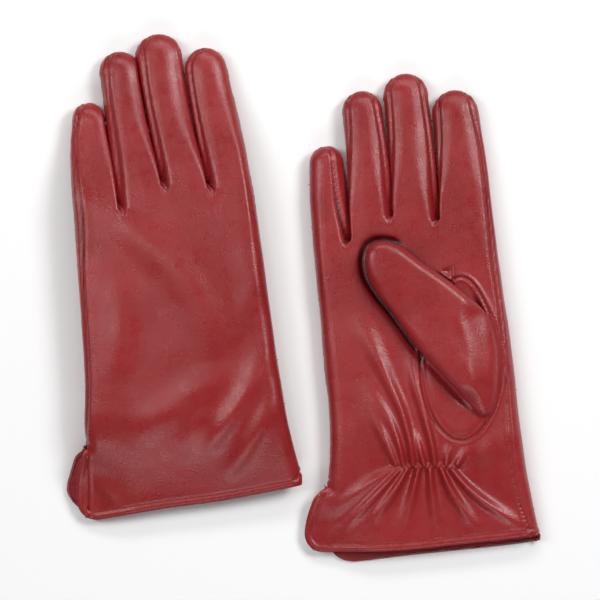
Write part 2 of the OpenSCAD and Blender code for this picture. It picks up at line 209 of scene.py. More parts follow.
# Area lights: name, place, size (m) and share of the key light's power
LIGHTS = (
    ("key", (0.88, 0.55, 1.15), (0.5, 0.5), 1.0),
    ("left", (-0.92, 0.3, 1.15), (0.4, 0.8), 0.55),
    ("sheen", (-0.34, 0.14, 1.35), (0.16, 0.34), 0.12),
    ("top", (0.1, 1.2, 0.95), (1.2, 0.3), 0.6),
    ("bottom", (0.0, -1.2, 0.95), (1.2, 0.3), 0.4),
)
VIEW_CENTRE = (-0.002, -0.0018)
FLOOR_SIZE, FLOOR_MARBLING = 6, 0.985  # m, and how dark its darker patches are
SENSOR = 36  # mm


def glove_origin(side):
    """The glove frame's origin in the row frame, in mm, taken from the middle finger's hinge."""
    hinge = [value / MM for value in JOINTS[f"{side}_middle_bend"]["pos_m"]]
    return np.array([hinge[0] - MIDDLE_ROOT[0], hinge[1] - MIDDLE_ROOT[1], hinge[2]])


def to_row(side, points):
    """Points in a glove's own frame, in mm, as points in the row frame, in metres."""
    turn = np.array([1.0, 1.0, 1.0 if side == "left" else -1.0])
    return (np.asarray(points, float) * turn + glove_origin(side)) * MM


def row_vector(side, vector):
    """A direction in a glove's own frame as one in the row frame."""
    turn = np.array([1.0, 1.0, 1.0 if side == "left" else -1.0])
    return np.asarray(vector, float) * turn


def ease(low, high, value):
    """0 at low, 1 at high, and smooth between them."""
    t = np.clip((value - low) / (high - low), 0, 1)
    return t * t * (3 - 2 * t)


def smooth_line(points, step=2.0, closed=False):
    """A Catmull-Rom curve through the points, with a point about every step mm."""
    p = np.array(points, float)
    n = len(p)
    ends = (
        np.vstack([p[-1], p, p[0], p[1]])
        if closed
        else np.vstack([2 * p[0] - p[1], p, 2 * p[-1] - p[-2]])
    )
    out = []
    for i in range(n if closed else n - 1):
        a, b, c, d = ends[i : i + 4]
        count = max(1, int(np.linalg.norm(c[:2] - b[:2]) / step))
        t = (np.arange(count) / count)[:, None]
        square, cube = (2 * a - 5 * b + 4 * c - d), (3 * b - a - 3 * c + d)
        out.append(0.5 * (2 * b + (c - a) * t + square * t**2 + cube * t**3))
    if not closed:
        out.append(p[-1:])
    return np.vstack(out)


def nearest(points, line, closed=False):
    """For each point: distance to the line, the nearest place on it, and the line's values there."""
    a = line if closed else line[:-1]
    b = np.roll(line, -1, 0) if closed else line[1:]
    start, step = a[:, :2], (b - a)[:, :2]
    length2 = np.maximum((step**2).sum(1), 1e-12)

    def project(places, some):
        t = np.clip(((places[:, None] - start[some]) * step[some]).sum(2) / length2[some], 0, 1)
        q = start[some] + t[..., None] * step[some]
        return t, q, np.sqrt(((places[:, None] - q) ** 2).sum(2))

    distance, place = np.zeros(len(points)), np.zeros((len(points), 2))
    values = np.zeros((len(points), line.shape[1] - 2))
    tile = np.floor(points[:, :2] / TILE)
    order = np.lexsort(tile.T)
    changed = np.where((np.diff(tile[order], axis=0) != 0).any(1))[0] + 1
    every = np.arange(len(a))
    for chunk in np.split(order, changed):
        if not len(chunk):
            continue
        middle = (tile[chunk[0]] + 0.5) * TILE
        reach = project(middle[None], every)[2][0]
        some = np.where(reach <= reach.min() + 1.5 * TILE)[0]
        t, q, d = project(points[chunk, :2], some)
        k = d.argmin(1)
        i = np.arange(len(chunk))
        distance[chunk], place[chunk] = d[i, k], q[i, k]
        values[chunk] = a[some[k], 2:] + t[i, k][:, None] * (b[some[k], 2:] - a[some[k], 2:])
    return distance, place, values


def inside(points, loop):
    """Which points lie inside a closed loop, by counting crossings."""
    found = np.zeros(len(points), bool)
    x, y = points[:, 0], points[:, 1]
    for (x0, y0), (x1, y1) in zip(loop[:, :2], np.roll(loop[:, :2], -1, 0)):
        if y0 != y1:
            crosses = (y0 > y) != (y1 > y)
            found ^= crosses & (x < (x1 - x0) * (y - y0) / (y1 - y0) + x0)
    return found


def signed(points, loop):
    """Distance to a closed loop, positive inside."""
    distance, _, _ = nearest(points, loop[:, :2], closed=True)
    return np.where(inside(points, loop), distance, -distance)


# ---------------------------------------------------------------- the draft's outline

# The side seams: the back panel's on the pinky side, the palm panel's on the index side
PINKY_SEAM = (
    VENT_TOP, (-47.8, 45), (-47.6, 60), (-48.6, 90), (-50.2, 115), (-51.6, 145), (-53.6, 166),
    (-55.2, 184))
INDEX_SEAM = (
    (27.3, 201), (29.3, 186), (31.7, 165), (33.5, 146), (36, 125), (38.3, 102), (40.3, 78),
    (41.6, 55), (43.4, 36), (47.8, 19.5), (54.2, 5))
# Past the glove, the start and the end of each panel's outline
PANEL_ENDS = {
    BACK: ((), ((60, 180), (90, 60), (90, -40), (-48.7, -40))),
    PALM: (((-90, 31), (-90, 150), (-66, 185)), ((60, -14), (60, -40), (-90, -40))),
}
CROTCH_SEAM = ((-0.9, 1.0), (0.0, -1.4), (0.9, 1.0))  # the seam's corner at a crotch
BELOW_HEM = ((63, -30), (-66, -30), (-66, VENT_TOP[1]))
WIDE, HIGH = 90, 260  # mm, past the glove on every side
HAND_ROUND = 6.3  # rounding of the glove's sides and fingertips
TIP_ROUND = 2.0  # how much smaller than a fingertip's radius its rounding is
CROTCH_ROUND = 3.0  # rounding beside a crotch
ROUND_RISE = 42.0  # how far above a crotch the rounding is full
TIP_SEAM_INSET = -1.2  # how far a panel's seam moves along the finger at its tip


def lean_of(side, f):
    """Lean of a finger's sides from the glove's y axis, in radians, turning towards the pinky side."""
    roots = [(-57, 150), *CROTCHES, (34.5, 160)]
    x = (roots[f][0] + roots[f + 1][0]) / 2
    y = (roots[f][1] + roots[f + 1][1]) / 2
    cx, cy, _ = TIPS[side][f]
    return math.atan2(x - cx, cy - y)


def arc(cx, cy, radius, start, end, count=14):
    angles = np.linspace(start, end, count)
    return np.column_stack([cx + radius * np.cos(angles), cy + radius * np.sin(angles)])


def with_values(points, *values):
    columns = [np.broadcast_to(np.asarray(value, float), len(points)) for value in values]
    return np.column_stack([points[:, :2], *columns])


def common_line(side):
    """Where back and palm skins meet: up the pinky side, round the fingers, down the index side.

    Columns: x, y, rounding radius, and how far the skin reaches past the draft."""
    parts = []
    sides = smooth_line(PINKY_SIDE[side], 6)
    parts.append(with_values(sides, HAND_ROUND, 0))
    for f in range(4):
        cx, cy, radius = TIPS[side][f]
        lean = lean_of(side, f)
        tip = arc(cx, cy, radius - SLIT_HALF, math.pi + lean, lean)
        parts.append(with_values(tip, radius - TIP_ROUND, SLIT_HALF))
        if f == 3:
            break
        x, y = CROTCHES[f]
        base = arc(x, y + SLIT_HALF, SLIT_HALF, math.pi, 2 * math.pi, 7)
        next_lean = lean_of(side, f + 1)
        nx, ny, nradius = TIPS[side][f + 1]
        top = arc(nx, ny, nradius - SLIT_HALF, math.pi + next_lean, next_lean, 2)[0]
        reach = SLIT_HALF - SLIT_OPEN
        for a, b in ((tip[-1], base[0]), (base[-1], top)):
            t = np.linspace(0.02, 0.98, 9)[:, None]
            wall = a + t * (b - a)
            rise = ease(0, ROUND_RISE, wall[:, 1] - y)
            rounding = CROTCH_ROUND + rise * (radius - TIP_ROUND - CROTCH_ROUND)
            parts.append(with_values(wall, rounding, reach))
            if a is tip[-1]:
                parts.append(with_values(base, CROTCH_ROUND, reach))
    sides = smooth_line(INDEX_SIDE[side], 6)
    parts.append(with_values(sides, HAND_ROUND, 0))
    return np.vstack(parts)


def free_edge(side, face):
    return smooth_line(FREE_EDGE[side, face], 1.5)


def panel(side, face):
    """The seam outline of a back or palm panel, drawn past the glove where the panel wraps round."""
    seams = BACK_SEAM if face == BACK else PALM_SEAM
    parts = []
    start, end = PANEL_ENDS[face]
    parts.append(smooth_line(PINKY_SEAM, 6) if face == BACK else np.array(start, float))
    for f, name in enumerate(FINGERS):
        left, right = seams[name]
        cx, cy, radius = TIPS[side][f]
        lean = lean_of(side, f)
        inset = (left + right) / 2
        middle = cx + (left - right) / 2, cy + inset - TIP_SEAM_INSET
        parts.append(arc(*middle, radius - inset, math.pi + lean, lean, 16))
        if f < 3:
            parts.append(np.array(CROTCHES[f]) + np.array(CROTCH_SEAM))
    if face == PALM:
        parts.append(smooth_line(INDEX_SEAM, 6))
    parts.append(np.array(end, float))
    return np.vstack(parts)


# ---------------------------------------------------------------- triangles, cut and joined


class Skin:
    """Triangles with one row of values for each point: place, draft place and distances."""

    def __init__(self, points, triangles, face):
        self.points = points
        self.triangles = triangles
        self.face = face

    def keep(self, chosen):
        return Skin(self.points, self.triangles[chosen], self.face[chosen])

    def inner(self, field):
        values = field[self.triangles]
        return self.keep((values >= 0).all(1) & (values > 0).any(1))

    def outer(self, field):
        return self.inner(-field)

    def faces(self):
        """The face each point is on, or 0 where back and palm meet."""
        face = np.zeros(len(self.points), int)
        for which in (BACK, PALM):
            on = np.zeros(len(face), bool)
            on[self.triangles[self.face == which]] = True
            face += which * on
        return face

    def cut(self, field):
        """Splits the triangles along field = 0. Returns the new skin and the field on its points."""
        field = np.where(np.abs(field) < 1e-3, 0.0, field)
        sign = np.sign(field)
        tri = self.triangles
        pairs = np.vstack([tri[:, [0, 1]], tri[:, [1, 2]], tri[:, [2, 0]]])
        crossed = sign[pairs[:, 0]] * sign[pairs[:, 1]] < 0
        keys = np.sort(pairs, 1)
        unique, back = np.unique(keys[crossed], axis=0, return_inverse=True)
        back = back.reshape(-1)
        fa, fb = field[unique[:, 0]], field[unique[:, 1]]
        t = (fa / (fa - fb))[:, None]
        made = self.points[unique[:, 0]] * (1 - t) + self.points[unique[:, 1]] * t
        new_id = np.full(len(pairs), -1)
        new_id[crossed] = len(self.points) + back
        edge = new_id.reshape(3, -1).T
        points = np.vstack([self.points, made])
        fields = np.concatenate([field, np.zeros(len(made))])
        count = (edge >= 0).sum(1)
        out, face = [tri[count == 0]], [self.face[count == 0]]
        for turn in range(3):
            a, b, c = (np.roll(tri, -turn, 1)[:, i] for i in range(3))
            ab, bc, ca = (np.roll(edge, -turn, 1)[:, i] for i in range(3))
            one = (count == 1) & (bc >= 0)
            out += [np.column_stack([a, b, bc])[one], np.column_stack([a, bc, c])[one]]
            two = (count == 2) & (ab >= 0) & (ca >= 0)
            out += [
                np.column_stack([a, ab, ca])[two],
                np.column_stack([ab, b, c])[two],
                np.column_stack([ab, c, ca])[two],
            ]
            face += [self.face[one]] * 2 + [self.face[two]] * 3
        return Skin(points, np.vstack(out), np.concatenate(face)), fields

    def normals(self):
        p = self.points[:, :3]
        a, b, c = (p[self.triangles[:, i]] for i in range(3))
        normal = np.cross(b - a, c - a)
        total = np.zeros_like(p)
        for i in range(3):
            for axis in range(3):
                total[:, axis] += np.bincount(self.triangles[:, i], normal[:, axis], len(p))
        return total / np.maximum(np.linalg.norm(total, axis=1), 1e-12)[:, None]


def draft_grid(cell, low, high):
    """A flat grid of triangles whose diagonals alternate."""
    nx, ny = (int((h - l) / cell) + 1 for l, h in zip(low, high))
    x, y = np.meshgrid(low[0] + cell * np.arange(nx), low[1] + cell * np.arange(ny))
    points = np.column_stack([x.ravel(), y.ravel()])
    i, j = np.meshgrid(np.arange(nx - 1), np.arange(ny - 1))
    a = (j * nx + i).ravel()
    b, c, d = a + 1, a + nx, a + nx + 1
    even = ((i + j) % 2 == 0).ravel()[:, None]
    first = np.where(even, np.column_stack([a, b, d]), np.column_stack([a, b, c]))
    second = np.where(even, np.column_stack([a, d, c]), np.column_stack([b, d, c]))
    return points, np.vstack([first, second])


def grid_faces(nx, ny):
    """The triangles of a grid of points that run along x first, facing down."""
    i, j = np.meshgrid(np.arange(nx - 1), np.arange(ny - 1))
    a = (j * nx + i).ravel()
    b, c, d = a + 1, a + nx, a + nx + 1
    return np.vstack([np.column_stack([a, c, b]), np.column_stack([b, c, d])])


# The values of a skin's points: place, place on the draft, distances to the outline and the free
# edge, share of the full height, height of the relief, and normal
X, Y, Z, FLAT_X, FLAT_Y, TO_SIDE, TO_EDGE, RISE, CREASE, NX, NY, NZ = range(12)


def two_faced(cell, loop):
    """The part of a flat grid inside a loop, doubled into a back and a palm skin joined along it."""
    low, high = loop.min(0) - cell, loop.max(0) + cell
    points, triangles = draft_grid(cell, low, high)
    flat = Skin(points, triangles, np.full(len(triangles), BACK))
    flat, field = flat.cut(signed(points, loop))
    flat = tidy_points(flat.inner(field), field)
    field = flat.points[:, 2]
    count = len(field)
    other = np.where(field == 0, np.arange(count), np.arange(count) + count)
    return tidy_points(
        Skin(
            np.vstack([flat.points[:, :2]] * 2),
            np.vstack([flat.triangles, other[flat.triangles][:, ::-1]]),
            np.concatenate([flat.face, -flat.face]),
        )
    )


def two_skins(side, cell):
    """Back and palm skins on the draft, joined at their common line and cut at their free edges."""
    line = common_line(side)
    skin = two_faced(cell, np.vstack([line[:, :2], BELOW_HEM]))
    for which in (BACK, PALM):
        cut_line = free_edge(side, which)
        ends = (WIDE, cut_line[0, 1] + 1), (-WIDE, VENT_TOP[1] + 0.5), (-WIDE, HIGH), (WIDE, HIGH)
        loop = np.vstack([ends[:1], cut_line, ends[1:]])
        field = signed(skin.points, loop)
        others = skin.keep(skin.face != which)
        chosen, field = skin.keep(skin.face == which).cut(field)
        chosen = chosen.inner(field)
        skin = Skin(
            chosen.points,
            np.vstack([others.triangles, chosen.triangles]),
            np.concatenate([others.face, chosen.face]),
        )
    return tidy_points(skin), line


def tidy_points(skin, *values):
    """The same skin without unused points, and with the values as more columns."""
    used, triangles = np.unique(skin.triangles, return_inverse=True)
    points = np.column_stack([skin.points, *values])[used]
    return Skin(points, triangles.reshape(-1, 3), skin.face)


# How much thinner the glove gets at its cuff, its fingertips and its vent, and from where to where
CUFF_THIN, TIPS_THIN, VENT_THIN = 3.2, 1.8, 4.2
CUFF_Y, TIPS_Y, VENT_X, VENT_Y = (62, -4), (172, 232), (-24, -50), (36, 12)
TIP_DROOP_Y, HEM_DROOP_Y = 146, -6  # where the left glove's tips start down, and its cuff is down
TIP_DOWN = 6  # before the tip it is down


def levels(side, x, y):
    """Heights of the back leather's and of the palm leather's plane, before the glove slopes."""
    cuff = ease(*CUFF_Y, y)
    tips = ease(*TIPS_Y, y)
    vent = ease(*VENT_X, x) * ease(*VENT_Y, y)
    thinner = CUFF_THIN * cuff + TIPS_THIN * tips + VENT_THIN * vent
    if side == "left":
        return GLOVE_T - thinner, 0 * thinner
    return GLOVE_T + 0 * thinner, thinner


def slope(side, y, tip_y):
    """How far the left glove comes down from its palm towards the hem and the fingertips."""
    if side == "right":
        return 0 * y
    return -THUMB_ROOM * (ease(RAMP_Y, HEM_DROOP_Y, y) + ease(TIP_DROOP_Y, tip_y - TIP_DOWN, y))


ON_LINE = 0.02  # mm, closer than this a point is on the outline
ROUND_MARGIN = 1.8  # how far past the rounding the draft is drawn in
CROWN, CROWN_WIDTH = 0.06, 13  # the last share of the height, and where it is reached


def round_off(draft, line, half, closed=False):
    """Rounds a doubled skin off towards its outline: the new places, and how far each has risen."""
    d, place, values = nearest(draft, line, closed)
    radius, reach = values[:, 0], values[:, 1]
    ends = np.vstack([line, line[:1]])[:, :2] if closed else line[:, :2]
    direction = np.diff(ends, axis=0)
    middle = (ends[:-1] + ends[1:]) / 2
    inward = np.column_stack([direction[:, 1], -direction[:, 0]])
    inward /= np.maximum(np.linalg.norm(inward, axis=1), 1e-9)[:, None]
    on_line = np.where(d < ON_LINE)[0]
    gap = ((draft[on_line, None] - middle[None]) ** 2).sum(2)
    n = (draft - place) / np.maximum(d, 1e-9)[:, None]
    n[on_line] = inward[gap.argmin(1)]
    arc_length = math.pi / 2 * np.sqrt((radius**2 + half**2) / 2)
    depth = radius + ROUND_MARGIN
    along = d * (arc_length + depth - radius) / depth
    angle = np.clip(along / arc_length, 0, 1) * math.pi / 2
    out = np.where(along < arc_length, radius * (1 - np.cos(angle)), radius + along - arc_length)
    out = np.where(d < depth, out - reach * (1 - d / depth), d)
    rise = np.sin(angle) * (1 - CROWN + CROWN * ease(0, CROWN_WIDTH, d))
    return place + n * out[:, None], rise, d


VENT_FADE = 14  # below its top, the vent is not rounded
SLANT_TIPS, SLANT_PALM, SLANT_PINKY = (213, 163), (112, 148), (-56, -40)  # where the slant fades
SLANT_INDEX = (1, -15)  # the same, from the index side's edge
FAR = 99.0  # mm, where a distance isn't needed


def rounded(skin, side, line):
    """Gives each point its height, and slants the crotches. Returns the skin and each point's face."""
    draft = skin.points[:, :2]
    face = skin.faces()
    flat, rise, d = round_off(draft, line, GLOVE_T / 2)
    in_vent = ease(VENT_TOP[1], VENT_TOP[1] - VENT_FADE, draft[:, 1]) * (draft[:, 0] < 0)
    flat += (draft - flat) * in_vent[:, None]
    x, y = flat.T
    back, palm = levels(side, x, y)
    z = (back + palm) / 2 + face * rise * (back - palm) / 2
    index_x = np.interp(y, *np.array(INDEX_SIDE[side])[::-1].T[::-1])
    slant = ease(*SLANT_TIPS, y) * ease(*SLANT_PALM, y) * ease(*SLANT_PINKY, x)
    slant = slant * ease(index_x + SLANT_INDEX[0], index_x + SLANT_INDEX[1], x)
    xy = flat + (face * rise * slant)[:, None] * np.array([CROTCH_SHEAR, -CROTCH_STEP])
    tip_y = np.interp(x, [tip[0] for tip in TIPS[side]], [tip[1] + tip[2] for tip in TIPS[side]])
    z = z + slope(side, y, tip_y)
    edge = np.full(len(d), FAR)
    for which in (BACK, PALM):
        chosen = face != -which
        edge[chosen] = np.minimum(edge[chosen], nearest(draft[chosen], free_edge(side, which))[0])
    return Skin(np.column_stack([xy, z, flat, d, edge, rise]), skin.triangles, skin.face), face


def finger_of(side, points):
    """Which finger a point is on, by the slits' lines on the draft."""
    found = np.zeros(len(points), int)
    for f, (x, y) in enumerate(CROTCHES):
        a, b = TIPS[side][f], TIPS[side][f + 1]
        top_x = (a[0] + a[2] + b[0] - b[2]) / 2
        top_y = min(a[1], b[1])
        slit = x + (points[:, FLAT_Y] - y) * (top_x - x) / (top_y - y)
        found += points[:, FLAT_X] > slit
    return found


# Where each finger's own pieces start, on the finger's middle line
ROOTS = ((-45.6, 151.4), (-24.3, 163.4), (-2.3, 163.4), (21.5, 162.0))
BLEND_START, BLEND_LENGTH = 3.0, 14.0  # from there, a stretch along the finger, whose ends are worked out but not used


def along_finger(side, f):
    """The finger's direction towards its tip."""
    lean = lean_of(side, f)
    return np.array([-math.sin(lean), math.cos(lean)])


def past_root(side, points):
    """How far each point is past the root of its finger."""
    found = finger_of(side, points)
    out = np.zeros(len(points))
    for f, root in enumerate(ROOTS):
        chosen = found == f
        out[chosen] = (points[chosen][:, [FLAT_X, FLAT_Y]] - root) @ along_finger(side, f)
    return out


def right_of_middle(side, f, points):
    """How far each point is to the index side of a finger's middle line."""
    cx, cy, _ = TIPS[side][f]
    lean = lean_of(side, f)
    y = np.maximum(points[:, FLAT_Y], ROOTS[f][1])
    return (points[:, FLAT_X] - cx) * math.cos(lean) + (y - cy) * math.sin(lean)


FOLD_REACH = 20  # mm, past this a fold has no height
ON_TOP = (0.5, 0.95)  # the share of the height where folds start and are full
UNEVEN, THUMB_UNEVEN = ((0.7, 38), (0.16, 13)), ((0.3, 24), (0.1, 9))  # waves: height and size
SEEDS, THUMB_SEED = {"left": 3, "right": 8}, 5
BACK_FOLD_SCALE, GATHER_SCALE = 2.0, 1.7


def folds(points, lines):
    """Height of a set of folds, each a line of (x, y, height, half width)."""
    height = np.zeros(len(points))
    for line in lines:
        line = smooth_line(line, 3)
        near = np.where(
            (points[:, :2] > line[:, :2].min(0) - FOLD_REACH).all(1)
            & (points[:, :2] < line[:, :2].max(0) + FOLD_REACH).all(1)
        )[0]
        d, _, values = nearest(points[near], line)
        height[near] += values[:, 0] * np.exp(-((d / values[:, 1]) ** 2))
    return height


def rough(points, size, seed):
    """Smooth noise over the points, about -1 to 1."""
    offset = Vector((seed * 7.3, seed * 3.1, seed * 5.7))
    return np.array([noise.noise(Vector(p) / size + offset) for p in points])


def unevenness(points, waves, seed):
    return sum(height * rough(points, size, seed + n) for n, (height, size) in enumerate(waves))


SEAM_DEPTH, SEAM_LIP, OVAL_DEPTH, OVAL_LIP = 0.62, 0.3, 0.9, 0.55
SEAM_W, LIP_AT, LIP_W = 0.6, 1.35, 0.75
EDGE_ROUND, EDGE_RANGE = 0.9, (-0.2, 1.3)  # the free edge turns over
HEM_RAISE, HEM_RANGE = 0.3, (4.2, 2.6)  # the doubled hem stands up
HEM_GROOVE, HEM_GROOVE_W = 0.45, 0.55  # its row of stitches


def bell(value, middle, width):
    return np.exp(-(((value - middle) / width) ** 2))


def seam_relief(distance, depth=SEAM_DEPTH, lip=SEAM_LIP):
    """A seam's groove with a lip beside it."""
    return lip * bell(distance, LIP_AT, LIP_W) - depth * bell(distance, 0, SEAM_W)


def oval_line():
    """The oval seam that the thumb is sewn into, drawn in beside the quirk."""
    angles = np.linspace(0, 2 * math.pi, 96, endpoint=False)
    drawn_in = OVAL_PULL * np.where(angles < math.pi / 2, np.sin(2 * angles), 0)
    x = OVAL_CENTRE[0] + OVAL_RX * np.cos(angles) - drawn_in
    return np.column_stack([x, OVAL_CENTRE[1] + OVAL_RY * np.sin(angles)])


def relief(side, points, face):
    """Height of everything sewn, folded and creased into the leather, along its normal."""
    xy, flat = points[:, :2], points[:, [FLAT_X, FLAT_Y]]
    height = unevenness(points[:, :3], UNEVEN, SEEDS[side])
    level = ease(*ON_TOP, points[:, RISE])
    palm, back = face == PALM, face == BACK
    height[palm] += gather_relief(xy[palm]) * level[palm]
    height[back] += BACK_FOLD_SCALE * folds(xy[back], BACK_FOLDS) * level[back]
    height[palm] += gusset_relief(xy[palm])
    height[palm] -= thumb_dent(xy[palm])
    for which in (BACK, PALM):
        chosen = face != -which
        share = np.where(face[chosen] == 0, 0.5, 1.0)
        height[chosen] += share * seam_relief(np.abs(signed(flat[chosen], panel(side, which))))
    edge = points[:, TO_EDGE]
    height -= EDGE_ROUND * (1 - ease(*EDGE_RANGE, edge))
    height += HEM_RAISE * ease(*HEM_RANGE, edge) - HEM_GROOVE * bell(edge, HEM_ROW, HEM_GROOVE_W)
    return height


DENT_AT, DENT_REACH = 1.0, (8, -2)  # mm beyond the thumb, and where it fades past the free side
GUSSET_DOME, GUSSET_RISE, GUSSET_Y = 1.1, (0.6, 5.0), (112, 92)
HOLLOW, HOLLOW_RISE = 1.3, (0.2, 3.0)  # where the gusset is drawn in by the quirk
HOLLOW_X, HOLLOW_Y = (27.5, 6.0), (121.0, 10.0)  # its middle and half width
GATHER_FADE = (6, 4)  # past and before the ends of the gathering line
GATHER_HOLLOWS = ((0.5, 5.0), (0.35, 1.0))  # depth and half width, along that line


def thumb_dent(xy):
    """How far the palm leather is pressed in along the free side of the thumb lying on it."""
    outline = smooth_line(THUMB_LEAF, 2.5, closed=True)
    beyond = -signed(xy, outline)
    free_side = ease(*DENT_REACH, nearest(xy, smooth_line(THUMB_FREE, 3))[0])
    return DENT * free_side * bell(beyond, DENT_AT, DENT_W)


def gusset_relief(xy):
    """The oval seam, and the gusset inside it: domed below the thumb and drawn in above it."""
    d = signed(xy, oval_line())
    height = seam_relief(np.abs(d), OVAL_DEPTH, OVAL_LIP)
    height += GUSSET_DOME * ease(*GUSSET_RISE, d) * ease(*GUSSET_Y, xy[:, 1])
    hollow = HOLLOW * ease(*HOLLOW_RISE, d)
    return height - hollow * bell(xy[:, 0], *HOLLOW_X) * bell(xy[:, 1], *HOLLOW_Y)


def gather_relief(xy):
    """The elastic's folds: ridges that meet, one above between two below, at the gathering line."""
    height = GATHER_SCALE * folds(xy, GATHERS)
    (start, end), (past, before) = GATHER_X, GATHER_FADE
    along = ease(start - past, start + before, xy[:, 0]) * ease(end + past, end - before, xy[:, 0])
    for depth, width in GATHER_HOLLOWS:
        height -= depth * along * bell(xy[:, 1], GATHER_Y, width)
    return height


# ---------------------------------------------------------------- leather, cut along its seams


@functools.cache
def leather(side, cell, sewn=True):
    """A glove's outer leather in one skin, with its relief and normals, or the plain shape under it."""
    skin, line = two_skins(side, cell)
    skin, face = rounded(skin, side, line)
    height = relief(side, skin.points, face) if sewn else np.zeros(len(face))
    skin.points[:, :3] += skin.normals() * height[:, None]
    return finished(side, skin, height)


def finished(side, skin, height):
    """Keeps a skin off the surface it lies on, and adds its relief and normals as columns."""
    z = skin.points[:, Z]
    if side == "left":
        skin.points[:, Z] = np.maximum(z, CLEAR - THUMB_ROOM)
    else:
        skin.points[:, Z] = np.minimum(z, GLOVE_T - CLEAR)
    skin.points = np.column_stack([skin.points, height, skin.normals()])
    return skin


def share_out(side, skin, hand, parts):
    """Divides a skin at the fingers' roots into its hand piece and the fingers' pieces."""
    skin, field = skin.cut(past_root(side, skin.points))
    parts.setdefault(hand, []).append(skin.outer(field))
    skin = skin.inner(field)
    found = finger_of(side, skin.points[skin.triangles].mean(1))
    for f, finger in enumerate(FINGERS):
        parts.setdefault(f"{finger}_leather", []).append(skin.keep(found == f))


@functools.cache
def cut_leather(side, cell):
    """The leather cut along its seams: the skins of each piece, by the piece's name."""
    whole = leather(side, cell)
    parts = {}
    for which in (BACK, PALM):
        skin = whole.keep(whole.face == which)
        skin, field = skin.cut(signed(skin.points[:, [FLAT_X, FLAT_Y]], panel(side, which)))
        inner, outer = skin.inner(field), skin.outer(field)
        if which == PALM:
            inner, oval = inner.cut(signed(inner.points, oval_line()))
            parts["thumb_gusset"] = [inner.inner(oval)]
            inner = inner.outer(oval)
        share_out(side, inner, f"{FACE_NAMES[which]}_leather", parts)
        wrap_finger, turn = (0, -1) if which == BACK else (3, 1)
        outer, _ = outer.cut(turn * right_of_middle(side, wrap_finger, outer.points))
        centres = outer.points[outer.triangles].mean(1)
        wraps = (turn * right_of_middle(side, wrap_finger, centres) > 0) & (
            finger_of(side, centres) == wrap_finger
        )
        share_out(side, outer.keep(wraps), f"{FACE_NAMES[-which]}_leather", parts)
        outer = outer.keep(~wraps)
        found = finger_of(side, outer.points[outer.triangles].mean(1))
        for f, finger in enumerate(FINGERS):
            parts.setdefault(f"{finger}_fourchettes", []).append(outer.keep(found == f))
    return parts


WELD = 1e4  # points alike to one part in this of a millimetre are one


def welded(skins):
    """Several skins as one, sharing the points that lie on each other."""
    points = np.vstack([skin.points for skin in skins])
    start = np.cumsum([0] + [len(skin.points) for skin in skins[:-1]])
    triangles = np.vstack([skin.triangles + n for skin, n in zip(skins, start)])
    skin = tidy_points(Skin(points, triangles, np.concatenate([skin.face for skin in skins])))
    rounded_off = np.round(skin.points[:, :3] * WELD).astype(np.int64)
    _, first, same = np.unique(rounded_off, axis=0, return_index=True, return_inverse=True)
    triangles = same.reshape(-1)[skin.triangles]
    good = (triangles[:, 0] != triangles[:, 1]) & (triangles[:, 1] != triangles[:, 2])
    good &= triangles[:, 2] != triangles[:, 0]
    return Skin(skin.points[first], triangles[good], skin.face[good])


def walled(skin, thickness, lift=0.0):
    """A closed wall below a skin. Returns its points, triangles, corner normals and relief."""
    p, n = skin.points[:, :3], skin.points[:, NX : NZ + 1]
    outer, inner = p + n * lift, p + n * (lift - thickness)
    count = len(p)
    tri = skin.triangles
    edges = np.vstack([tri[:, [0, 1]], tri[:, [1, 2]], tri[:, [2, 0]]])
    forward = edges[:, 0] * count + edges[:, 1]
    a, b = edges[~np.isin(forward, edges[:, 1] * count + edges[:, 0])].T
    rims = np.vstack([np.column_stack([b, a, a + count]), np.column_stack([b, a + count, b + count])])
    points = np.vstack([outer, inner])
    triangles = np.vstack([tri, tri[:, ::-1] + count, rims])
    corners = np.vstack([n, -n])[triangles]
    x, y, z = (points[rims[:, i]] for i in range(3))
    rim_normal = np.cross(y - x, z - x)
    rim_normal /= np.maximum(np.linalg.norm(rim_normal, axis=1), 1e-12)[:, None]
    corners[2 * len(tri) :] = rim_normal[:, None]
    crease = np.tile(skin.points[:, CREASE], 2)
    return points, triangles, corners, crease


def new_piece(side, name, points, triangles, corners=None, crease=None):
    """A mesh object from points in a glove's own frame. The right glove's is the mirror image."""
    triangles = triangles if side == "left" else triangles[:, ::-1]
    mesh = bpy.data.meshes.new(f"{side}_{name}_soft")
    mesh.vertices.add(len(points))
    mesh.vertices.foreach_set("co", to_row(side, points).ravel())
    mesh.loops.add(triangles.size)
    mesh.loops.foreach_set("vertex_index", triangles.ravel().astype(np.int32))
    mesh.polygons.add(len(triangles))
    mesh.polygons.foreach_set("loop_start", np.arange(0, triangles.size, 3, dtype=np.int32))
    mesh.update(calc_edges=True)
    mesh.polygons.foreach_set("use_smooth", np.ones(len(triangles), bool))
    # The relief's height, which the leather's finish uses to paint shade in low places and a highlight
    # on fold tops.
    if crease is not None:
        layer = mesh.attributes.new("crease", "FLOAT", "POINT")
        layer.data.foreach_set("value", crease.astype(np.float32))
    if corners is not None:
        corners = corners if side == "left" else corners[:, ::-1]
        mesh.normals_split_custom_set(row_vector(side, corners.reshape(-1, 3)).tolist())
    piece = bpy.data.objects.new(f"{side}_{name}_soft", mesh)
    bpy.context.collection.objects.link(piece)
    return piece


def finish_piece(piece, side, slot, finger=None):
    """Gives a piece its finish, and joins it to the hand; a finger's piece is only baked in place and
    joined to nothing.
    """
    piece.data.materials.append(bpy.data.materials[FINISHES[slot]])
    if finger is None:
        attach(piece, f"{side}_hand")
        return
    f = FINGERS.index(finger)
    direction = along_finger(side, f)
    start, end = (
        tuple(to_row(side, np.append(ROOTS[f] + direction * reach, GLOVE_T / 2)))
        for reach in (BLEND_START, BLEND_START + BLEND_LENGTH)
    )
    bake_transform(piece)
    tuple(start)
    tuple(end)


def leather_thickness():
    """In mm."""
    return leather_settings().thickness / MM


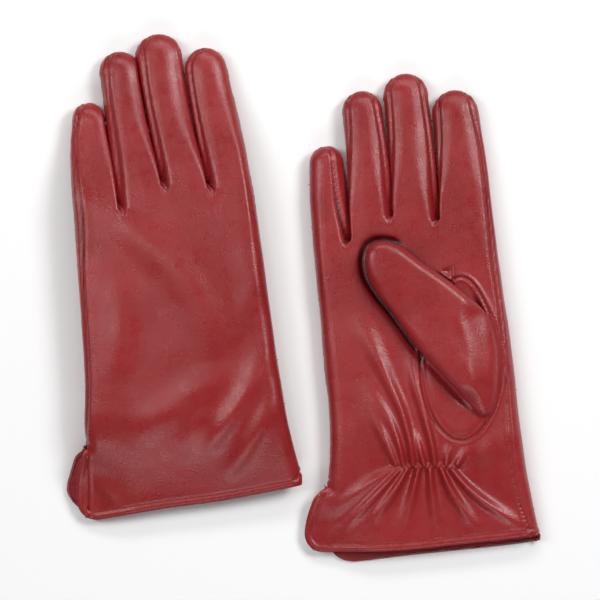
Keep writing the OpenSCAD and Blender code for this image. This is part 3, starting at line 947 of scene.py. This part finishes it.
def hand_piece(side, name, skins, slot="leather", thickness=None, lift=0.0, finger=None):
    """A walled piece of one glove from its skins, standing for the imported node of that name."""
    piece = new_piece(side, name, *walled(welded(skins), thickness or leather_thickness(), lift))
    finish_piece(piece, side, slot, finger)
    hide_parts(f"{side}_{name}")


def finger_pieces(kind):
    """Every finger's leather pieces of one kind, on both gloves."""
    for side in SIDES:
        parts = cut_leather(side, cell_size())
        for finger in FINGERS:
            name = f"{finger}_{kind}"
            hand_piece(side, name, parts[name], finger=finger)


def thumb_piece(side, name, walls, slot):
    """A piece that moves with the thumb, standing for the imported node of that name."""
    piece = new_piece(side, name, *walls)
    piece.data.materials.append(bpy.data.materials[FINISHES[slot]])
    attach(piece, f"{side}_thumb")
    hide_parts(f"{side}_{name}")


def neck_piece(side):
    """The thumb's neck, running from the hand to the thumb. It is joined to neither."""
    piece = new_piece(side, "thumb_neck", *walled(thumb_neck(side, NECK_CELL), leather_thickness()))
    piece.data.materials.append(bpy.data.materials[FINISHES["leather"]])
    middle = THUMB_BASE[len(THUMB_BASE) // 2]
    foot, top = (tuple(to_row(side, np.array([*middle, z]))) for z in (NECK_FOOT, NECK_TOP))
    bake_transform(piece)
    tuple(foot)
    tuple(top)


# ---------------------------------------------------------------- the thumb


THUMB_TIP, THUMB_TIP_FADE = (-24, 147), (34, 6)
THUMB_BASE_FADE = (15, 0)
THUMB_SINK, TIP_LIFT = 2.9, 0.6  # the base goes down to the palm, the tip lies a little off it
NECK_ROWS, NECK_CELL = 9, 1.0


@functools.cache
def thumb(side, cell):
    """The folded thumb: two skins on its outline, sloping to the palm along its base."""
    outline = smooth_line(THUMB_LEAF[::-1], 2.5, closed=True)
    skin = two_faced(cell, outline)
    face = skin.faces()
    line = with_values(outline, THUMB_ROUND, 0)
    flat, rise, d = round_off(skin.points[:, :2], line, THUMB_HALF, closed=True)
    base = ease(*THUMB_BASE_FADE, nearest(flat, smooth_line(THUMB_BASE, 3))[0])
    tip = ease(*THUMB_TIP_FADE, np.hypot(*(flat - THUMB_TIP).T))
    half = THUMB_HALF * (1 - THUMB_TAPER * base)
    middle = THUMB_MID + THUMB_SINK * base - TIP_LIFT * tip
    z = middle + face * rise * half
    far = np.full(len(d), FAR)
    skin = Skin(np.column_stack([flat, z, flat, d, far, rise]), skin.triangles, skin.face)
    height = unevenness(skin.points[:, :3], THUMB_UNEVEN, THUMB_SEED)
    height += folds(flat, THUMB_FOLDS) * ease(*ON_TOP, rise)
    skin.points[:, :3] += skin.normals() * height[:, None]
    return finished(side, skin, height)


def thumb_neck(side, cell):
    """The leather between the thumb's base and the oval seam that it is sewn into."""
    top = smooth_line(THUMB_BASE, cell)
    step = np.gradient(top, axis=0)
    outward = np.column_stack([step[:, 1], -step[:, 0]]) / np.linalg.norm(step, axis=1)[:, None]
    rows = []
    for t in np.linspace(0, 1, NECK_ROWS):
        reach = NECK_INNER + (NECK_OUTER - NECK_INNER) * t**2
        z = NECK_TOP + (NECK_FOOT - NECK_TOP) * t
        rows.append(np.column_stack([top + outward * reach, np.full(len(top), z)]))
    points = np.vstack(rows)
    triangles = grid_faces(len(top), NECK_ROWS)
    flat = points[:, :2]
    filler = np.full(len(points), FAR)
    values = np.column_stack([points, flat, filler, filler, filler])
    return finished(side, Skin(values, triangles, np.full(len(triangles), PALM)), 0 * filler)


# ---------------------------------------------------------------- placing things on the leather


@functools.cache
def flat_tree(side, which, cell):
    """The skin of one face laid flat, to look up where a place on the draft lies on the glove."""
    skin = tidy_points(leather(side, cell).keep(leather(side, cell).face == which))
    flat = np.column_stack([skin.points[:, [FLAT_X, FLAT_Y]], np.zeros(len(skin.points))])
    return skin, flat, BVHTree.FromPolygons(flat.tolist(), skin.triangles.tolist())


def place_on(side, which, places, cell):
    """The row of values of the skin at each place on the draft. Places off the skin are left out."""
    skin, flat, tree = flat_tree(side, which, cell)
    found = []
    for x, y in places:
        _, _, index, _ = tree.ray_cast(Vector((x, y, 1)), Vector((0, 0, -1)))
        if index is None:
            continue
        corners = skin.triangles[index]
        a, b, c = flat[corners][:, :2]
        area = (b[0] - a[0]) * (c[1] - a[1]) - (b[1] - a[1]) * (c[0] - a[0])
        if abs(area) < SLIVER:
            weights = np.full(3, 1 / 3)
        else:
            u = ((x - a[0]) * (c[1] - a[1]) - (y - a[1]) * (c[0] - a[0])) / area
            v = ((b[0] - a[0]) * (y - a[1]) - (b[1] - a[1]) * (x - a[0])) / area
            weights = np.clip([1 - u - v, u, v], 0, 1)
            weights /= weights.sum()
        found.append(weights @ skin.points[corners])
    return np.array(found).reshape(-1, skin.points.shape[1])


def evenly(line, pitch):
    """Places along a line, one every pitch mm."""
    length = np.concatenate([[0], np.cumsum(np.linalg.norm(np.diff(line[:, :2], axis=0), axis=1))])
    at = np.arange(pitch / 2, length[-1], pitch)
    return np.column_stack([np.interp(at, length, line[:, i]) for i in range(2)])


def beside(line, distance):
    """The line moved to its right by a distance."""
    step = np.gradient(line[:, :2], axis=0)
    length = np.maximum(np.linalg.norm(step, axis=1), 1e-9)
    right = np.column_stack([step[:, 1], -step[:, 0]]) / length[:, None]
    return line[:, :2] + right * distance


def stitch_shape():
    """One stitch along x, 1 long and 1 thick: its points and triangles."""
    rings, around = ((-0.5, 0.1), (-0.36, 0.42), (0.0, 0.5), (0.36, 0.42), (0.5, 0.1)), 6
    points = [
        (x, r * math.cos(2 * math.pi * k / around), r * math.sin(2 * math.pi * k / around))
        for x, r in rings
        for k in range(around)
    ]
    triangles = []
    for j in range(len(rings) - 1):
        for k in range(around):
            a, b = j * around + k, j * around + (k + 1) % around
            triangles += [(a, b, b + around), (a, b + around, a + around)]
    last = (len(rings) - 1) * around
    for k in range(1, around - 1):
        triangles += [(0, k + 1, k), (last, last + k, last + k + 1)]
    return np.array(points), np.array(triangles)


def stitched(rows, length, thickness):
    """Points and triangles of one stitch for each row of the skin's values, in line with the next."""
    shape, faces = stitch_shape()
    points, triangles = [], []
    for run in rows:
        along = np.gradient(run[:, :3], axis=0)
        for row, direction in zip(run, along):
            normal = row[NX : NZ + 1]
            x = direction - normal * (direction @ normal)
            x /= max(np.linalg.norm(x), 1e-9)
            basis = np.array([x * length, np.cross(normal, x) * thickness, normal * thickness])
            triangles.append(faces + len(points) * len(shape))
            points.append(row[:3] + normal * STITCH_LIFT * thickness + shape @ basis)
    return np.vstack(points), np.vstack(triangles)


def seam_lines(side):
    """The rows of stitches: (face, line on the draft)."""
    lines = []
    for which in (BACK, PALM):
        edge = free_edge(side, which)
        lines.append((which, beside(edge, HEM_ROW)))
        outline = panel(side, which)
        outline = np.vstack([
            a + (b - a) * t
            for a, b in zip(outline[:-1], outline[1:])
            for t in np.arange(0, 1, 1 / max(1, int(np.linalg.norm(b - a) / 3)))[:, None]
        ])
        lines.append((which, beside(outline, SEAM_ROW)))
    oval = oval_line()[::-1]
    lines.append((PALM, np.vstack([oval, oval[:1]])))
    return lines


def runs_of(side, which, line, pitch, cell):
    """A line's stitches on the leather, divided into unbroken runs on the hand and on each finger."""
    rows = place_on(side, which, evenly(line, pitch), cell)
    rows = rows[(rows[:, TO_SIDE] > STITCH_SIDE) & (np.abs(rows[:, NZ]) > STITCH_FLAT)]
    if len(rows) < SHORTEST_RUN:
        return
    past = past_root(side, rows) > 0
    owner = np.where(past, finger_of(side, rows), -1)
    far = np.linalg.norm(np.diff(rows[:, :3], axis=0), axis=1) > RUN_GAP * pitch
    breaks = np.where((np.diff(owner) != 0) | far)[0] + 1
    for run in np.split(np.arange(len(rows)), breaks):
        if len(run) >= SHORTEST_RUN:
            yield owner[run[0]], rows[run]


# ---------------------------------------------------------------- the quirk and the elastic

RIM_AT, RIM_W, INSIDE_SCALE = 0.06, 0.07, 3  # in shares of the quirk's width
RIM_HIGHLIGHT, SINK_SHADE = 0.9, 0.7  # painted highlight on its raised edge, and painted shade in its sunk middle
DROOP_TIP = 150  # past the wrist, far from the tips' droop


def quirk(side):
    """The small triangle let in beside the thumb: raised at its edge and sunk in its middle."""
    corners = np.array(QUIRK, float)
    index, points = {}, []
    for i in range(QUIRK_STEPS + 1):
        for j in range(QUIRK_STEPS + 1 - i):
            index[i, j] = len(points)
            u, v = i / QUIRK_STEPS, j / QUIRK_STEPS
            points.append(corners[0] * (1 - u - v) + corners[1] * u + corners[2] * v)
    triangles = []
    for (i, j), a in index.items():
        if (i + 1, j) in index and (i, j + 1) in index:
            triangles.append((a, index[i + 1, j], index[i, j + 1]))
        if (i + 1, j + 1) in index:
            triangles.append((index[i + 1, j], index[i + 1, j + 1], index[i, j + 1]))
    rows = place_on(side, PALM, points, cell_size())
    weight = np.array([(1 - (i + j) / QUIRK_STEPS, i / QUIRK_STEPS, j / QUIRK_STEPS) for i, j in index])
    middle = weight.min(1) * INSIDE_SCALE
    rim = bell(weight.min(1), RIM_AT, RIM_W)
    lift = QUIRK_LIFT + QUIRK_RIM * rim - QUIRK_SINK * middle
    rows[:, :3] += rows[:, NX : NZ + 1] * lift[:, None]
    # Painted highlight on the raised edge and painted shade in the sunk middle, for the leather's
    # finish.
    rows[:, CREASE] = RIM_HIGHLIGHT * rim - SINK_SHADE * middle
    skin = Skin(rows, np.array(triangles), np.full(len(triangles), PALM))
    if np.median(skin.normals()[:, 2]) > 0:
        skin.triangles = skin.triangles[:, ::-1]
    skin.points[:, NX : NZ + 1] = skin.normals()
    return skin


def elastic(side):
    """The ribbed tape laid flat under the gathers."""
    nx, ny = ELASTIC_GRID
    x, y = np.meshgrid(np.linspace(-ELASTIC_W / 2, ELASTIC_W / 2, nx), np.linspace(0, ELASTIC_H, ny))
    places = np.column_stack([x.ravel(), y.ravel() + GATHER_Y - ELASTIC_H / 2])
    rows = place_on(side, PALM, places, cell_size())
    rib = RIB_HEIGHT * np.cos(rows[:, FLAT_Y] * 2 * math.pi / (ELASTIC_H / ELASTIC_RIBS))
    down = slope(side, rows[:, Y], GATHER_Y + DROOP_TIP)
    rows[:, Z] = levels(side, rows[:, X], rows[:, Y])[1] + down + ELASTIC_DEPTH - rib
    triangles = grid_faces(nx, ny)
    skin = Skin(rows, triangles, np.full(len(triangles), PALM))
    rows[:, NX : NZ + 1] = skin.normals()
    return skin


# ---------------------------------------------------------------- sizes and colours to change


class GloveLeather(bpy.types.PropertyGroup):
    """The outer leather."""

    thickness: FloatProperty(
        name="Thickness", description="Thickness of the leather",
        default=0.0009, precision=5, unit="LENGTH",
    )
    cell: FloatProperty(
        name="Detail", description="Spacing of the leather's points",
        default=0.0007, precision=5, unit="LENGTH",
    )
    colour: FloatVectorProperty(
        name="Colour", description="Dyed leather", default=(0.25, 0.01, 0.012), subtype="COLOR"
    )
    # Painted shade: the colour the leather is darkened to in the low places of its relief, such as
    # seams, grooves, dents and hollows.
    painted_shade: FloatVectorProperty(
        name="Deep colour", description="Leather in seams and folds",
        default=(0.06, 0.002, 0.003), subtype="COLOR",
    )
    # A paler tone that the leather takes at random, and also a painted highlight on the tops of its
    # folds and on the quirk's raised edge.
    pale_tone_and_highlight: FloatVectorProperty(
        name="Rubbed colour", description="Leather on top of folds",
        default=(0.31, 0.019, 0.022), subtype="COLOR",
    )
    roughness: FloatProperty(
        name="Roughness", description="Roughness of the leather",
        default=0.3, min=0, max=1, subtype="FACTOR",
    )
    grain: FloatProperty(
        name="Grain", description="Size of the leather's grain",
        default=0.0007, precision=5, unit="LENGTH",
    )


class GloveLining(bpy.types.PropertyGroup):
    """The knitted lining and the elastic."""

    inset: FloatProperty(
        name="Inset", description="Leather's outside to the lining",
        default=0.0017, precision=5, unit="LENGTH",
    )
    thickness: FloatProperty(
        name="Thickness", description="Thickness of the lining",
        default=0.0006, precision=5, unit="LENGTH",
    )
    colour: FloatVectorProperty(
        name="Colour", description="Brushed knit", default=(0.09, 0.012, 0.014), subtype="COLOR"
    )
    elastic: FloatVectorProperty(
        name="Elastic", description="Ribbed wrist elastic", default=(0.62, 0.56, 0.5), subtype="COLOR"
    )


class GloveStitching(bpy.types.PropertyGroup):
    """The thread."""

    length: FloatProperty(
        name="Stitch length", description="Length of one stitch",
        default=0.0013, precision=5, unit="LENGTH",
    )
    pitch: FloatProperty(
        name="Stitch pitch", description="Distance between stitches",
        default=0.0019, precision=5, unit="LENGTH",
    )
    thickness: FloatProperty(
        name="Thread", description="Thickness of the thread",
        default=0.00034, precision=5, unit="LENGTH",
    )
    colour: FloatVectorProperty(
        name="Colour", description="Dark red thread", default=(0.16, 0.012, 0.014), subtype="COLOR"
    )


class GloveStage(bpy.types.PropertyGroup):
    """The floor, the lights and the camera."""

    floor: FloatVectorProperty(
        name="Floor", description="Pale floor", default=(0.96, 0.96, 0.96), subtype="COLOR"
    )
    height: FloatProperty(
        name="Camera height", description="Camera above the floor", default=1.6, unit="LENGTH"
    )
    field: FloatProperty(
        name="Field", description="Width of the view at the floor", default=0.3, unit="LENGTH"
    )
    key: FloatProperty(
        name="Key light", description="Power of the large light", default=12.0, unit="POWER"
    )
    fill: FloatProperty(name="Fill", description="Strength of the surrounding light", default=0.12)


def leather_settings():
    return bpy.context.scene.glove_leather


def cell_size():
    return round(leather_settings().cell / MM * (1), 4)


# ---------------------------------------------------------------- finishes


# The material of each slot
FINISHES = {
    "leather": "dyed_nappa",
    "lining": "brushed_knit",
    "elastic": "ribbed_elastic",
    "thread": "red_thread",
}


class Finish:
    """A material's nodes, added and joined by name."""

    def __init__(self, name):
        self.material = bpy.data.materials.new(name)
        self.material.use_nodes = True
        self.tree = self.material.node_tree
        self.shader = self.tree.nodes["Principled BSDF"]

    def node(self, kind, inputs=(), **settings):
        made = self.tree.nodes.new(kind)
        for name, value in settings.items():
            setattr(made, name, value)
        for name, value in dict(inputs).items():
            if isinstance(value, bpy.types.NodeSocket):
                self.tree.links.new(value, made.inputs[name])
            else:
                made.inputs[name].default_value = value
        return made

    def noise(self, place, scale, detail=3.0, roughness=0.55):
        inputs = {"Vector": place, "Scale": scale, "Detail": detail, "Roughness": roughness}
        return self.node("ShaderNodeTexNoise", inputs).outputs["Fac"]

    def spread(self, value, low, high, to_low=0.0, to_high=1.0):
        inputs = {
            "Value": value, "From Min": low, "From Max": high, "To Min": to_low, "To Max": to_high
        }
        made = self.node("ShaderNodeMapRange", inputs, interpolation_type="SMOOTHSTEP")
        return made.outputs["Result"]

    def mix(self, factor, a, b):
        made = self.node("ShaderNodeMix", data_type="RGBA")
        for socket, value in zip((made.inputs[0], made.inputs[6], made.inputs[7]), (factor, a, b)):
            if isinstance(value, bpy.types.NodeSocket):
                self.tree.links.new(value, socket)
            else:
                socket.default_value = value
        return made.outputs[2]

    def bump(self, height, strength, distance, normal=None):
        inputs = {"Height": height, "Strength": strength, "Distance": distance}
        if normal:
            inputs["Normal"] = normal
        return self.node("ShaderNodeBump", inputs).outputs["Normal"]

    def join(self, **inputs):
        for name, value in inputs.items():
            socket = self.shader.inputs[name.replace("_", " ")]
            if isinstance(value, bpy.types.NodeSocket):
                self.tree.links.new(value, socket)
            else:
                socket.default_value = value


def opaque(colour):
    """The colour with full alpha, as the sockets want it."""
    return (*colour, 1.0)


def make_leather():
    look = leather_settings()
    finish = Finish(FINISHES["leather"])
    place = finish.node("ShaderNodeTexCoord").outputs["Object"]
    crease = finish.node("ShaderNodeAttribute", attribute_name="crease").outputs["Fac"]
    cloud = finish.noise(place, scale=22, detail=3)
    speckle = finish.noise(place, scale=900, detail=2)
    base = finish.mix(finish.spread(cloud, 0.35, 0.7), opaque(look.colour), opaque(look.pale_tone_and_highlight))
    base = finish.mix(finish.spread(speckle, 0.38, 0.72, to_high=0.28), base, opaque(look.pale_tone_and_highlight))
    # Painted shade: darker where the relief is low, in seams, grooves, dents and hollows.
    base = finish.mix(finish.spread(crease, -0.3, -1.0), base, opaque(look.painted_shade))
    # Painted highlight: paler on the tops of folds and on the quirk's raised edge.
    base = finish.mix(finish.spread(crease, 0.5, 2.2, to_high=0.5), base, opaque(look.pale_tone_and_highlight))
    pores = finish.node(
        "ShaderNodeTexVoronoi", {"Vector": place, "Scale": 1 / look.grain, "Randomness": 1.0}
    ).outputs["Distance"]
    fine = finish.noise(place, scale=2.2 / look.grain, detail=2)
    soft = finish.noise(place, scale=160, detail=3)
    normal = finish.bump(pores, strength=0.55, distance=0.00013)
    normal = finish.bump(fine, strength=0.45, distance=0.0001, normal=normal)
    normal = finish.bump(soft, strength=0.3, distance=0.0004, normal=normal)
    rough = finish.spread(soft, 0.3, 0.7, look.roughness - 0.05, look.roughness + 0.07)
    finish.join(Base_Color=base, Roughness=rough, Normal=normal, Coat_Weight=0.05, Coat_Roughness=0.25)
    finish.shader.inputs["Specular IOR Level"].default_value = 0.5


def make_knit():
    look = bpy.context.scene.glove_lining
    finish = Finish(FINISHES["lining"])
    place = finish.node("ShaderNodeTexCoord").outputs["Object"]
    loops = finish.node("ShaderNodeTexVoronoi", {"Vector": place, "Scale": 1100.0}).outputs["Distance"]
    fuzz = finish.noise(place, scale=3000, detail=2)
    lighter = tuple(min(1.0, 1.8 * value) for value in look.colour)
    base = finish.mix(finish.spread(loops, 0.1, 0.7), opaque(lighter), opaque(look.colour))
    normal = finish.bump(loops, strength=0.6, distance=0.0003)
    normal = finish.bump(fuzz, strength=0.5, distance=0.0002, normal=normal)
    finish.join(Base_Color=base, Roughness=0.92, Normal=normal, Sheen_Weight=0.5, Sheen_Roughness=0.5)


def make_elastic():
    look = bpy.context.scene.glove_lining
    finish = Finish(FINISHES["elastic"])
    place = finish.node("ShaderNodeTexCoord").outputs["Object"]
    ribs = finish.node(
        "ShaderNodeTexWave", {"Vector": place, "Scale": 320.0, "Distortion": 0.4}, bands_direction="Y"
    ).outputs["Fac"]
    knit = finish.noise(place, scale=2400, detail=2)
    # Painted shade: darker in the grooves between the ribs.
    shade = tuple(0.6 * value for value in look.elastic)
    base = finish.mix(ribs, opaque(shade), opaque(look.elastic))
    normal = finish.bump(ribs, strength=0.6, distance=0.0003)
    normal = finish.bump(knit, strength=0.3, distance=0.0001, normal=normal)
    finish.join(Base_Color=base, Roughness=0.8, Normal=normal)


def make_thread():
    look = bpy.context.scene.glove_stitching
    finish = Finish(FINISHES["thread"])
    place = finish.node("ShaderNodeTexCoord").outputs["Object"]
    twist = finish.noise(place, scale=4200, detail=2)
    lighter = tuple(min(1.0, 1.9 * value) for value in look.colour)
    base = finish.mix(finish.spread(twist, 0.35, 0.65), opaque(look.colour), opaque(lighter))
    normal = finish.bump(twist, strength=0.5, distance=0.00008)
    finish.join(Base_Color=base, Roughness=0.5, Normal=normal)


# ---------------------------------------------------------------- operators


class GloveFinishes(bpy.types.Operator):
    """Make the leather, lining, elastic and thread"""

    bl_idname = "glove.finishes"
    bl_label = "Finishes"

    def execute(self, context):
        for make in (make_leather, make_knit, make_elastic, make_thread):
            make()
        return {"FINISHED"}


class GloveHandLeather(bpy.types.Operator):
    """Build the back and palm leather of both hands, and the oval gussets"""

    bl_idname = "glove.hand_leather"
    bl_label = "Hand leather"

    def execute(self, context):
        for side in SIDES:
            parts = cut_leather(side, cell_size())
            for name in ("back_leather", "palm_leather", "thumb_gusset"):
                hand_piece(side, name, parts[name])
        return {"FINISHED"}


class GloveFingerLeather(bpy.types.Operator):
    """Build the leather of every finger"""

    bl_idname = "glove.finger_leather"
    bl_label = "Finger leather"

    def execute(self, context):
        finger_pieces("leather")
        return {"FINISHED"}


class GloveFourchettes(bpy.types.Operator):
    """Build the narrow gussets between the fingers"""

    bl_idname = "glove.fourchettes"
    bl_label = "Fourchettes"

    def execute(self, context):
        finger_pieces("fourchettes")
        return {"FINISHED"}


class GloveThumbs(bpy.types.Operator):
    """Build the folded thumbs with their necks and linings"""

    bl_idname = "glove.thumbs"
    bl_label = "Thumbs"

    def execute(self, context):
        look = context.scene.glove_lining
        for side in SIDES:
            walls = walled(thumb(side, cell_size()), leather_thickness())
            thumb_piece(side, "thumb_leather", walls, "leather")
            walls = walled(thumb(side, LINING_CELL), look.thickness / MM, -look.inset / MM)
            thumb_piece(side, "thumb_lining", walls, "lining")
            neck_piece(side)
        return {"FINISHED"}


class GloveQuirks(bpy.types.Operator):
    """Build the small triangles let in beside the thumbs"""

    bl_idname = "glove.quirks"
    bl_label = "Quirks"

    def execute(self, context):
        for side in SIDES:
            piece = new_piece(side, "quirk", *walled(quirk(side), leather_thickness()))
            finish_piece(piece, side, "leather")
            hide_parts(f"{side}_quirk")
        return {"FINISHED"}


class GloveCuffs(bpy.types.Operator):
    """Build the turned-in cuff facings and the wrist elastics"""

    bl_idname = "glove.cuffs"
    bl_label = "Cuffs"

    def execute(self, context):
        for side in SIDES:
            whole = leather(side, FACING_CELL)
            for which in (BACK, PALM):
                skin = whole.keep(whole.face == which)
                skin, field = skin.cut(FACING_WIDTH - skin.points[:, TO_EDGE])
                hand_piece(
                    side,
                    f"{FACE_NAMES[which]}_facing",
                    [skin.inner(field)],
                    thickness=FACING_T,
                    lift=-leather_thickness() - FACING_GAP,
                )
            piece = new_piece(side, "wrist_elastic", *walled(elastic(side), ELASTIC_T))
            finish_piece(piece, side, "elastic")
            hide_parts(f"{side}_wrist_elastic")
        return {"FINISHED"}


class GloveLinings(bpy.types.Operator):
    """Build the knitted linings of the hands and fingers"""

    bl_idname = "glove.linings"
    bl_label = "Linings"

    def execute(self, context):
        look = context.scene.glove_lining
        for side in SIDES:
            whole = leather(side, LINING_CELL, sewn=False)
            skin, field = whole.cut(whole.points[:, TO_EDGE] - LINING_START)
            parts = {}
            share_out(side, skin.inner(field), "hand_lining", parts)
            for name, skins in parts.items():
                finger = name.split("_")[0] if name != "hand_lining" else None
                name = name.replace("leather", "lining")
                hand_piece(side, name, skins, "lining", look.thickness / MM, -look.inset / MM, finger)
        return {"FINISHED"}


class GloveStitches(bpy.types.Operator):
    """Sew the hems, the side seams, the finger seams and the oval seams"""

    bl_idname = "glove.stitches"
    bl_label = "Stitches"

    def execute(self, context):
        look = context.scene.glove_stitching
        for side in SIDES:
            runs = {}
            for which, line in seam_lines(side):
                for owner, rows in runs_of(side, which, line, look.pitch / MM, cell_size()):
                    runs.setdefault(int(owner), []).append(rows)
            for owner, rows in runs.items():
                finger = FINGERS[owner] if owner >= 0 else None
                name = f"{finger or 'hand'}_stitches"
                piece = new_piece(side, name, *stitched(rows, look.length / MM, look.thickness / MM))
                finish_piece(piece, side, "thread", finger)
        return {"FINISHED"}


class GloveStageOperator(bpy.types.Operator):
    """Lay the floor, and set the lights and the camera"""

    bl_idname = "glove.stage"
    bl_label = "Stage"

    def execute(self, context):
        look = context.scene.glove_stage
        bpy.ops.object.select_all(action="DESELECT")
        bpy.ops.mesh.primitive_plane_add(size=FLOOR_SIZE, location=(0, 0, 0))
        floor = context.object
        floor.name = "floor"
        paper = Finish("paper")
        place = paper.node("ShaderNodeTexCoord").outputs["Object"]
        shade = paper.spread(paper.noise(place, scale=3, detail=2), 0.3, 0.7)
        darker = tuple(FLOOR_MARBLING * value for value in look.floor)
        paper.join(Base_Color=paper.mix(shade, opaque(darker), opaque(look.floor)), Roughness=0.9)
        floor.data.materials.append(paper.material)
        for name, place, size, share in LIGHTS:
            bpy.ops.object.light_add(type="AREA", location=place)
            light = context.object
            light.name = name
            light.data.shape = "RECTANGLE"
            light.data.size, light.data.size_y = size
            light.data.energy = look.key * share
            light.rotation_euler = (-Vector(place)).to_track_quat("-Z", "Y").to_euler()
        world = bpy.data.worlds.new("room")
        context.scene.world = world
        world.use_nodes = True
        surround = world.node_tree.nodes["Background"]
        surround.inputs["Color"].default_value = (1, 1, 1, 1)
        surround.inputs["Strength"].default_value = look.fill
        bpy.ops.object.camera_add(location=(*VIEW_CENTRE, look.height))
        camera = context.object
        camera.rotation_euler = (0, 0, 0)
        camera.data.sensor_width = SENSOR
        camera.data.lens = SENSOR * look.height / look.field
        context.scene.view_settings.view_transform = "Standard"
        camera.data.clip_start, camera.data.clip_end = 0.05, 20
        context.scene.camera = camera
        return {"FINISHED"}


class GlovePanel(bpy.types.Panel):
    """Sizes, colours and building steps of the gloves"""

    bl_idname = "VIEW3D_PT_gloves"
    bl_label = "Leather gloves"
    bl_space_type = "VIEW_3D"
    bl_region_type = "UI"
    bl_category = "Gloves"

    def draw(self, context):
        for name in ("glove_leather", "glove_lining", "glove_stitching", "glove_stage"):
            box = self.layout.box()
            for field in getattr(context.scene, name).bl_rna.properties.keys():
                if field not in ("rna_type", "name"):
                    box.prop(getattr(context.scene, name), field)
        for step in STEPS:
            self.layout.operator(step.bl_idname)


STEPS = (
    GloveFinishes,
    GloveHandLeather,
    GloveFingerLeather,
    GloveFourchettes,
    GloveThumbs,
    GloveQuirks,
    GloveCuffs,
    GloveLinings,
    GloveStitches,
    GloveStageOperator,
)
GROUPS = {
    "glove_leather": GloveLeather,
    "glove_lining": GloveLining,
    "glove_stitching": GloveStitching,
    "glove_stage": GloveStage,
}


def register():
    for group in (*GROUPS.values(), *STEPS, GlovePanel):
        bpy.utils.register_class(group)
    for name, group in GROUPS.items():
        setattr(bpy.types.Scene, name, PointerProperty(type=group))


def unregister():
    for name in GROUPS:
        delattr(bpy.types.Scene, name)
    for group in reversed((*GROUPS.values(), *STEPS, GlovePanel)):
        bpy.utils.unregister_class(group)


def main():
    register()
    for step in STEPS:
        group, name = step.bl_idname.split(".")
        getattr(getattr(bpy.ops, group), name)()


if __name__ == "__main__":
    main()
